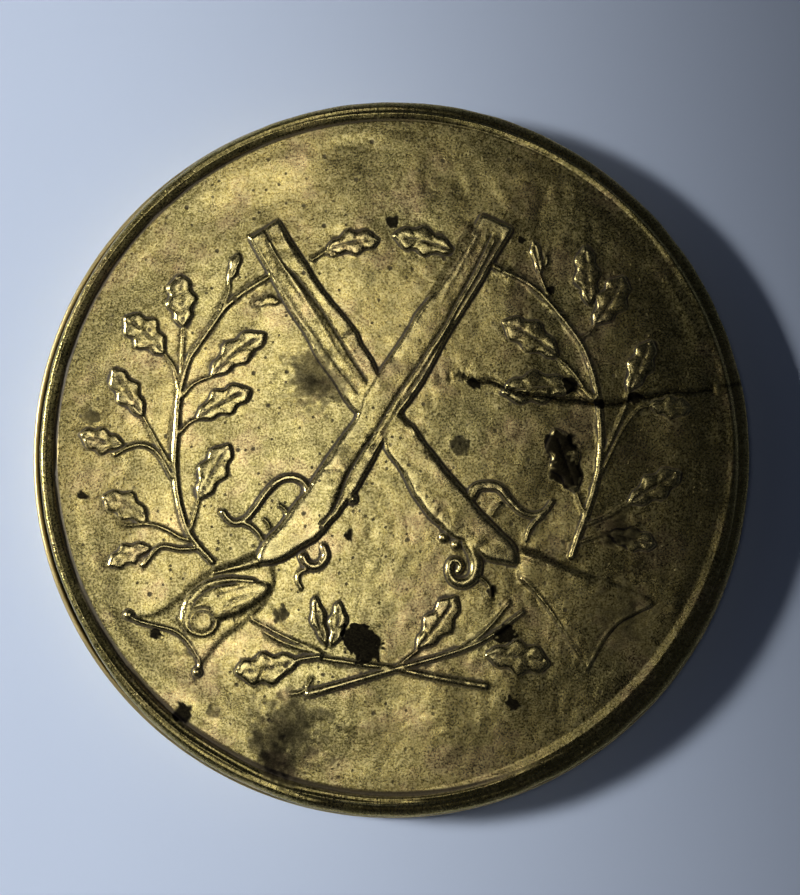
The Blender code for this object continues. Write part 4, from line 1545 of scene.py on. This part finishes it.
    def rim_height(self, radius: np.ndarray, angle: np.ndarray) -> np.ndarray:
        """Works out the rim's upper side, outside the carried field.

        Args:
            radius: Distances from the axis.
            angle: The angles there, in radians.

        Returns:
            The height at each place.
        """
        groove, rise, bevel, slump, folds = (
            self.station(name, angle) for name in ("groove", "rise", "bevel", "slump", "folds"))
        groove = groove * (1.0 + self.GROOVE_SHAKE * round_waves(angle, self.GROOVE_SEED, 5, 60))
        rise = rise + self.RISE_SHAKE * round_waves(angle, self.RISE_SEED, 8, 90)
        share = np.clip((radius - bevel) / self.bevel_width, 0.0, 1.0)
        left = np.maximum(self.crest - bevel - self.bevel_width, 0.05)
        outside = np.clip((radius - bevel - self.bevel_width) / left, 0.0, 1.0)
        wander = self.WANDER * round_waves(angle, self.WANDER_SEED, 6, 30)
        trough = bell(radius - self.groove_middle - 0.4 * wander, self.groove_width)
        crease = np.cos(2.0 * math.pi * (radius - self.FOLD_START - wander) / self.FOLD_PITCH)
        crease = crease * (radius > self.FOLD_START - 0.05)
        fall = self.field_height(np.minimum(radius, self.field_radius))
        raised = rise * share - slump * outside**1.5
        return fall + raised - groove * trough + folds * crease

    def field_height(self, radius: np.ndarray) -> np.ndarray:
        """Height of the plain dome of the field."""
        return self.EDGE_HEIGHT + self.dome * (1.0 - (radius / self.field_radius) ** 2)

    def profile(self) -> list[Point]:
        """Draws the turned part of the sheet.

        Returns:
            Its section, from the carried field's edge over the rim to the axis below.
        """
        ledge = self.crest - self.carried_radius
        count = int(round(ledge / self.ring_pitch))
        rings = [self.carried_radius + ledge * i / count for i in range(count + 1)]
        top = [(r, self.EDGE_HEIGHT) for r in rings]
        over = arc((self.crest, self.EDGE_HEIGHT - self.roll), self.roll, 90.0, 0.0, 9)[1:]
        inner = self.skirt_radius - self.sheet
        wall = (1.9, 1.65, 1.45, self.shoulder, 1.22, 1.16, self.neck, self.foot + 0.06)
        skirt = [(self.skirt_radius, height) for height in wall]
        hem = [(self.skirt_radius - 0.06, self.foot), (inner + 0.06, self.foot), (inner, self.foot + 0.06)]
        below = self.EDGE_HEIGHT - self.sheet - 0.35
        under = [(inner, below - 0.2), (inner - 0.25, below), (0.97 * self.carried_radius, below)]
        under += [(share * self.carried_radius, below) for share in (0.66, 0.33)]
        return top + over + skirt + hem + under + [(0.0, below)]

    def build(self) -> bpy.types.Mesh:
        """Makes the struck sheet.

        Returns:
            One closed mesh.
        """
        busy = self.busy()
        shape = bmesh.new()
        bmesh.ops.create_grid(shape, x_segments=self.grid, y_segments=self.grid, size=1.0)
        for count in self.refinements:
            self.refine(shape, busy, count)
        square = np.array([corner.co[:2] for corner in shape.verts])
        x, y = disc_from_square(square[:, 0], square[:, 1])
        for corner, cx, cy in zip(shape.verts, x * self.carried_radius, y * self.carried_radius):
            corner.co = (cx, cy, self.EDGE_HEIGHT)
        rim = turned_mesh("rim", self.profile(), self.steps)
        shape.from_mesh(rim)
        bpy.data.meshes.remove(rim)
        mesh = closed_mesh("struck_face", shape)
        self.emboss(mesh)
        return mesh

    def emboss(self, mesh: bpy.types.Mesh) -> None:
        """Gives the mesh its heights, its off-centre strike and its marks, and turns it to metres.

        Args:
            mesh: The sheet with its top still level, in millimetres.
        """
        at = self.layout(places_of(mesh))
        height = self.heights(at)
        mesh.vertices.foreach_set("co", (self.moved(at, height) * MM).ravel())
        self.mark_wear(mesh, at, height)
        mesh.update()

    def layout(self, place: np.ndarray) -> Layout:
        """Sorts the sheet's points into its parts.

        Args:
            place: The points, one per row, with the top still level.

        Returns:
            Where they lie, and the part each belongs to.
        """
        radius = np.hypot(place[:, 0], place[:, 1])
        below = place[:, 2] < self.EDGE_HEIGHT - 0.02
        carried = ~below & (radius <= self.carried_radius + 0.001)
        outward = eased(radius, self.carried_radius - self.FADE_WIDTH, self.carried_radius)
        return Layout(
            place=place,
            radius=radius,
            angle=np.arctan2(place[:, 1], place[:, 0]),
            x=place[:, 0] / DIE_SCALE,
            y=place[:, 1] / DIE_SCALE,
            below=below,
            carried=carried,
            rim=~below & ~carried,
            rolled=below & (radius > self.crest) & (place[:, 2] > self.EDGE_HEIGHT - self.roll - 0.01),
            outer=radius > self.crest - 0.001,
            outward=outward,
            inward=1.0 - outward,
        )

    def heights(self, at: Layout) -> np.ndarray:
        """Works out the struck height of every point.

        Args:
            at: Where the points lie.

        Returns:
            Their heights.
        """
        height = at.place[:, 2].copy()
        struck = self.die.read(self.surface, at.x, at.y)
        height[at.carried] = (self.field_height(at.radius) + struck * at.inward)[at.carried]
        height[at.rim] = self.rim_height(at.radius, at.angle)[at.rim]
        at_crest = self.rim_height(np.full_like(at.radius, self.crest), at.angle) - self.EDGE_HEIGHT
        drop = eased(height, self.EDGE_HEIGHT - self.roll - 0.3, self.EDGE_HEIGHT)
        height[at.rolled] += (at_crest * drop)[at.rolled]
        split = self.die.read(self.die.crack, at.x, at.y) * at.outward
        split *= 1.0 - eased(at.radius, self.carried_radius, self.carried_radius + 0.3)
        height[at.top()] -= (self.SPLIT_DEPTH * split)[at.top()]
        return height

    def moved(self, at: Layout, height: np.ndarray) -> np.ndarray:
        """Sets the design off centre, and the rim over the skirt with its dents.

        Args:
            at: Where the points lie.
            height: Their struck heights.

        Returns:
            The points' new places, one per row.
        """
        shift = 1.0 - eased(at.radius, self.carried_radius + 0.2, self.crest)
        shift = np.where(at.top(), shift, 0.0)
        swell = eased(at.place[:, 2], self.neck, self.shoulder)
        swell *= 1.0 - 0.6 * eased(at.place[:, 2], self.EDGE_HEIGHT - self.roll, self.EDGE_HEIGHT)
        swell *= eased(at.radius, self.crest, self.crest + 0.1)
        ragged = self.DENT * round_waves(at.angle, self.RAGGED_SEED, 6, 60)
        overhang = (self.station("overhang", at.angle) + ragged) * swell
        dents = self.DENT * (round_waves(at.angle, self.DENT_SEED, 2, 7) - 1.0) * at.outer
        grow = 1.0 + (dents + overhang) / np.maximum(at.radius, 1.0)
        return np.stack([
            at.place[:, 0] * grow + shift * DIE_SHIFT[0],
            at.place[:, 1] * grow + shift * DIE_SHIFT[1],
            height,
        ], axis=1)

    def mark_wear(self, mesh: bpy.types.Mesh, at: Layout, height: np.ndarray) -> None:
        """Marks the mesh with what its finish reads.

        Args:
            mesh: The sheet.
            at: Where its points lie.
            height: Their struck heights.
        """
        # Painted shade: the rim's groove, as deep as it is struck, and the skirt's lower part at the seam
        # with the back's lip are darkened through the hollow mark.
        trough = bell(at.radius - self.groove_middle + 0.04, 1.7 * self.groove_width)
        depth = np.clip(self.station("groove", at.angle) / 0.10, 0.0, 1.0)
        seam = (1.0 - eased(height, 1.05, 1.35)) * at.outer
        crown = bell(at.radius - self.crest, 0.2) * ~at.below
        above_seam = height > 1.0
        field_top = at.carried * at.inward
        hollow = self.die.read(self.hollow, at.x, at.y) * field_top
        high = self.die.read(self.high, at.x, at.y) * field_top
        # The crack, with its split running on over the rim, is marked to be painted black as shade.
        crack = np.clip(self.die.read(self.die.crack, at.x, at.y), 0.0, 1.0) * at.top()
        over_rim = bell((at.angle - math.radians(self.crack_angle)) * at.radius, self.SPLIT_WIDTH)
        over_rim *= eased(at.radius, 18.3, 18.5) * above_seam
        # The hollow mark joins grime in the relief's hollows with the painted shade above; the stain mark
        # also carries the painted shadow beside the crack.
        mark(mesh, "hollow", np.maximum(hollow, np.maximum(at.rim * trough * depth, seam)))
        mark(mesh, "high", np.maximum(high, 0.45 * crown))
        mark(mesh, "band", eased(at.radius, 18.8, 19.0) * above_seam)
        mark(mesh, "stain_and_shadow", self.die.read(self.die.stain_and_shadow, at.x, at.y) * at.top())
        mark(mesh, "crack", np.maximum(crack, 0.8 * over_rim))

    def dress(self, mesh: bpy.types.Mesh) -> bpy.types.Object:
        """Finishes the face, hangs it on the root body and hides its CAD node.

        Args:
            mesh: The struck sheet.

        Returns:
            The piece.
        """
        piece = add_piece("struck_face", mesh, AgedBrass().material("aged_face_brass"))
        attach(piece, "root")
        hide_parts(self.node)
        return piece


@dataclass
class BackShell:
    """The shallow back: flat disc, rounded corner and the lip that holds the face's skirt."""

    node: str = "back_shell"
    sheet: float = 0.4
    lip_wall: float = 0.3
    corner: float = 0.45
    steps: int = 360

    # Where the back is lightened: the lip's middle height, rubbed and with a painted highlight, and the
    # radius of its lower corner, rubbed.
    LIP_HEIGHT = 0.95
    CORNER_RADIUS = 19.85
    # Within this radius and above this height the back is hidden by the face, and it is darkened there as
    # painted shade.
    INSIDE_RADIUS = 19.72
    INSIDE_HEIGHT = 0.2
    WAVE_SEED = 31
    WAVE = 0.03

    def profile(self) -> list[Point]:
        """Draws the back's section.

        Returns:
            It from the axis inside, over the lip, to the axis below.
        """
        low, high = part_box(self.node)
        outer = 0.5 * (high[0] - low[0]) / MM
        top = high[2] / MM
        inner = outer - self.lip_wall
        bead = 0.5 * self.lip_wall
        inside = [(0.0, self.sheet), (0.5 * inner, self.sheet), (inner - 0.1, self.sheet)]
        inside.append((inner, self.sheet + 0.06))
        lip = arc((inner + bead, top - bead), bead, 180.0, 0.0, 8)
        outside = arc((outer - self.corner, self.corner), self.corner, 0.0, -90.0, 8)
        flat = [(share * (outer - self.corner), 0.0) for share in (0.98, 0.9, 0.75, 0.5, 0.25)]
        return inside + lip + outside + flat + [(0.0, 0.0)]

    def build(self) -> bpy.types.Mesh:
        """Makes the back, its lip a little wavy from being closed by hand.

        Returns:
            One closed mesh.
        """
        mesh = turned_mesh("lipped_back", self.profile(), self.steps)
        place = places_of(mesh)
        radius = np.hypot(place[:, 0], place[:, 1])
        angle = np.arctan2(place[:, 1], place[:, 0])
        on_lip = eased(place[:, 2], 0.5, 1.0)
        waves = self.WAVE + self.WAVE * round_waves(angle, self.WAVE_SEED, 3, 26)
        place[:, 2] -= on_lip * np.clip(waves, 0.0, 4.0 * self.WAVE)
        high = bell(place[:, 2] - self.LIP_HEIGHT, 0.25) * (radius > 19.75)
        corner = bell(radius - self.CORNER_RADIUS, 0.12) * (place[:, 2] < self.sheet)
        inside = (radius < self.INSIDE_RADIUS) & (place[:, 2] > self.INSIDE_HEIGHT)
        mesh.vertices.foreach_set("co", (place * MM).ravel())
        # Painted shade on the hidden inside, and a painted highlight with rubbing along the lip's middle.
        mark(mesh, "hollow", inside.astype(float))
        mark(mesh, "high", np.maximum(high, corner))
        mesh.update()
        return mesh

    def dress(self, mesh: bpy.types.Mesh) -> bpy.types.Object:
        """Finishes the back, hangs it on the root body and hides its CAD node.

        Args:
            mesh: The lipped back.

        Returns:
            The piece.
        """
        piece = add_piece("lipped_back", mesh, SheetBrass().material("aged_back_brass"))
        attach(piece, "root")
        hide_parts(self.node)
        return piece


@dataclass
class PackingDisc:
    """The pasteboard between the shells, which keeps its CAD shape."""

    node: str = "packing_disc"

    def dress(self) -> bpy.types.Object:
        """Gives the CAD node its board finish.

        Returns:
            The piece, which is the CAD node itself.
        """
        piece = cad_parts[self.node]
        board = Pasteboard().material("packing_board")
        for slot in piece.material_slots:
            slot.material = board
        return piece


@dataclass(frozen=True)
class SoftBox:
    """A rectangular soft light, aimed at a place near the medal."""

    name: str
    aim: tuple[float, float, float]
    azimuth: float
    elevation: float
    distance: float
    size: tuple[float, float]
    power: float
    spread: float = 180.0
    length_along: tuple[float, float, float] = (0.0, 1.0, 0.0)
    colour: Colour = (0.93, 0.97, 1.0)

    def hang(self) -> None:
        """Puts the light in the scene, its length turned along the wanted direction."""
        lamp = bpy.data.lights.new(self.name, "AREA")
        lamp.shape = "RECTANGLE"
        lamp.size = self.size[0] * MM
        lamp.size_y = self.size[1] * MM
        lamp.spread = math.radians(self.spread)
        lamp.energy = self.power
        lamp.color = self.colour
        light = bpy.data.objects.new(self.name, lamp)
        bpy.context.scene.collection.objects.link(light)
        turn, rise = math.radians(self.azimuth), math.radians(self.elevation)
        back = Vector((math.cos(rise) * math.cos(turn), math.cos(rise) * math.sin(turn), math.sin(rise)))
        length = Vector(self.length_along)
        up = (length - back * length.dot(back)).normalized()
        across = up.cross(back)
        place = (Vector(self.aim) + back * self.distance) * MM
        light.matrix_world = Matrix.Translation(place) @ Matrix((across, up, back)).transposed().to_4x4()


@dataclass
class Studio:
    """A pale ground, a low soft light from the left, a softer one overhead, and the camera."""

    view_height: float = 49.5
    distance: float = 150.0
    tilt: float = 4.5
    lean: float = 242.0
    aim: tuple[float, float, float] = (0.35, 0.46, 2.6)
    sensor: float = 36.0
    ground_side: float = 900.0
    sky: Colour = (0.52, 0.63, 0.95)
    sky_strength: float = 0.018
    horizon_strength: float = 0.16
    horizon_top: float = 0.42
    lights: tuple[SoftBox, ...] = (
        SoftBox("low_window", (-34.0, -16.0, 0.0), azimuth=172.0, elevation=30.0, distance=150.0,
                size=(50.0, 220.0), power=0.048, spread=17.5, length_along=(0.20, -0.98, 0.0)),
        SoftBox("overhead", (-10.0, 7.0, 0.0), azimuth=180.0, elevation=89.5, distance=100.0,
                size=(24.0, 60.0), power=0.0009, spread=36.0),
        SoftBox("wide_fill", (0.0, 0.0, 0.0), azimuth=172.0, elevation=36.0, distance=200.0,
                size=(120.0, 260.0), power=0.008, colour=(0.78, 0.89, 1.0)),
    )

    def light(self) -> None:
        """Hangs the lights, with a faint sky all round that pales towards the horizon."""
        world = bpy.data.worlds.new("faint_sky")
        world.use_nodes = True
        sky = world.node_tree.nodes["Background"]
        sky.inputs["Color"].default_value = (*self.sky, 1.0)
        nodes, links = world.node_tree.nodes, world.node_tree.links
        direction = nodes.new("ShaderNodeTexCoord")
        split = nodes.new("ShaderNodeSeparateXYZ")
        fade = nodes.new("ShaderNodeMapRange")
        fade.inputs["From Max"].default_value = self.horizon_top
        fade.inputs["To Min"].default_value = self.horizon_strength
        fade.inputs["To Max"].default_value = self.sky_strength
        links.new(direction.outputs["Generated"], split.inputs["Vector"])
        links.new(split.outputs["Z"], fade.inputs["Value"])
        links.new(fade.outputs["Result"], sky.inputs["Strength"])
        bpy.context.scene.world = world
        for box in self.lights:
            box.hang()

    def ground(self) -> None:
        """Lays the pale ground under the medal."""
        shape = bmesh.new()
        bmesh.ops.create_grid(shape, x_segments=2, y_segments=2, size=0.5 * self.ground_side * MM)
        mesh = bpy.data.meshes.new("ground")
        shape.to_mesh(mesh)
        shape.free()
        floor = add_piece("ground", mesh, PaleGround().material("pale_ground"))

    def camera(self) -> None:
        """Sets the camera above the medal, leaning towards its lower left, with +Y up the picture."""
        aim = Vector(self.aim) * MM
        lean = math.radians(self.lean)
        tilt = math.radians(self.tilt)
        back = Vector((math.sin(tilt) * math.cos(lean), math.sin(tilt) * math.sin(lean), math.cos(tilt)))
        across = Vector((0.0, 1.0, 0.0)).cross(back).normalized()
        up = back.cross(across)
        turn = Matrix((across, up, back)).transposed().to_4x4()
        data = bpy.data.cameras.new("view")
        data.sensor_width = self.sensor
        data.lens = self.sensor * self.distance / self.view_height
        data.clip_start = 0.005
        eye = bpy.data.objects.new("view", data)
        bpy.context.scene.collection.objects.link(eye)
        eye.matrix_world = Matrix.Translation(aim + back * self.distance * MM) @ turn
        bpy.context.scene.camera = eye

    def set_up(self) -> None:
        """Makes the whole studio."""
        bpy.context.scene.view_settings.view_transform = "Standard"
        self.camera()
        self.light()
        self.ground()


def main() -> None:
    """Builds the medal and its studio, and reports each piece."""
    logging.basicConfig(level=logging.INFO, format="%(message)s")
    Studio().set_up()
    face = FaceShell()
    face.strike()
    pieces = [face.dress(face.build())]
    back = BackShell()
    pieces.append(back.dress(back.build()))
    pieces.append(PackingDisc().dress())
    for piece in pieces:
        LOG.info("%s: %d points, %d faces", piece.name, len(piece.data.vertices), len(piece.data.polygons))


if __name__ == "__main__":
    main()
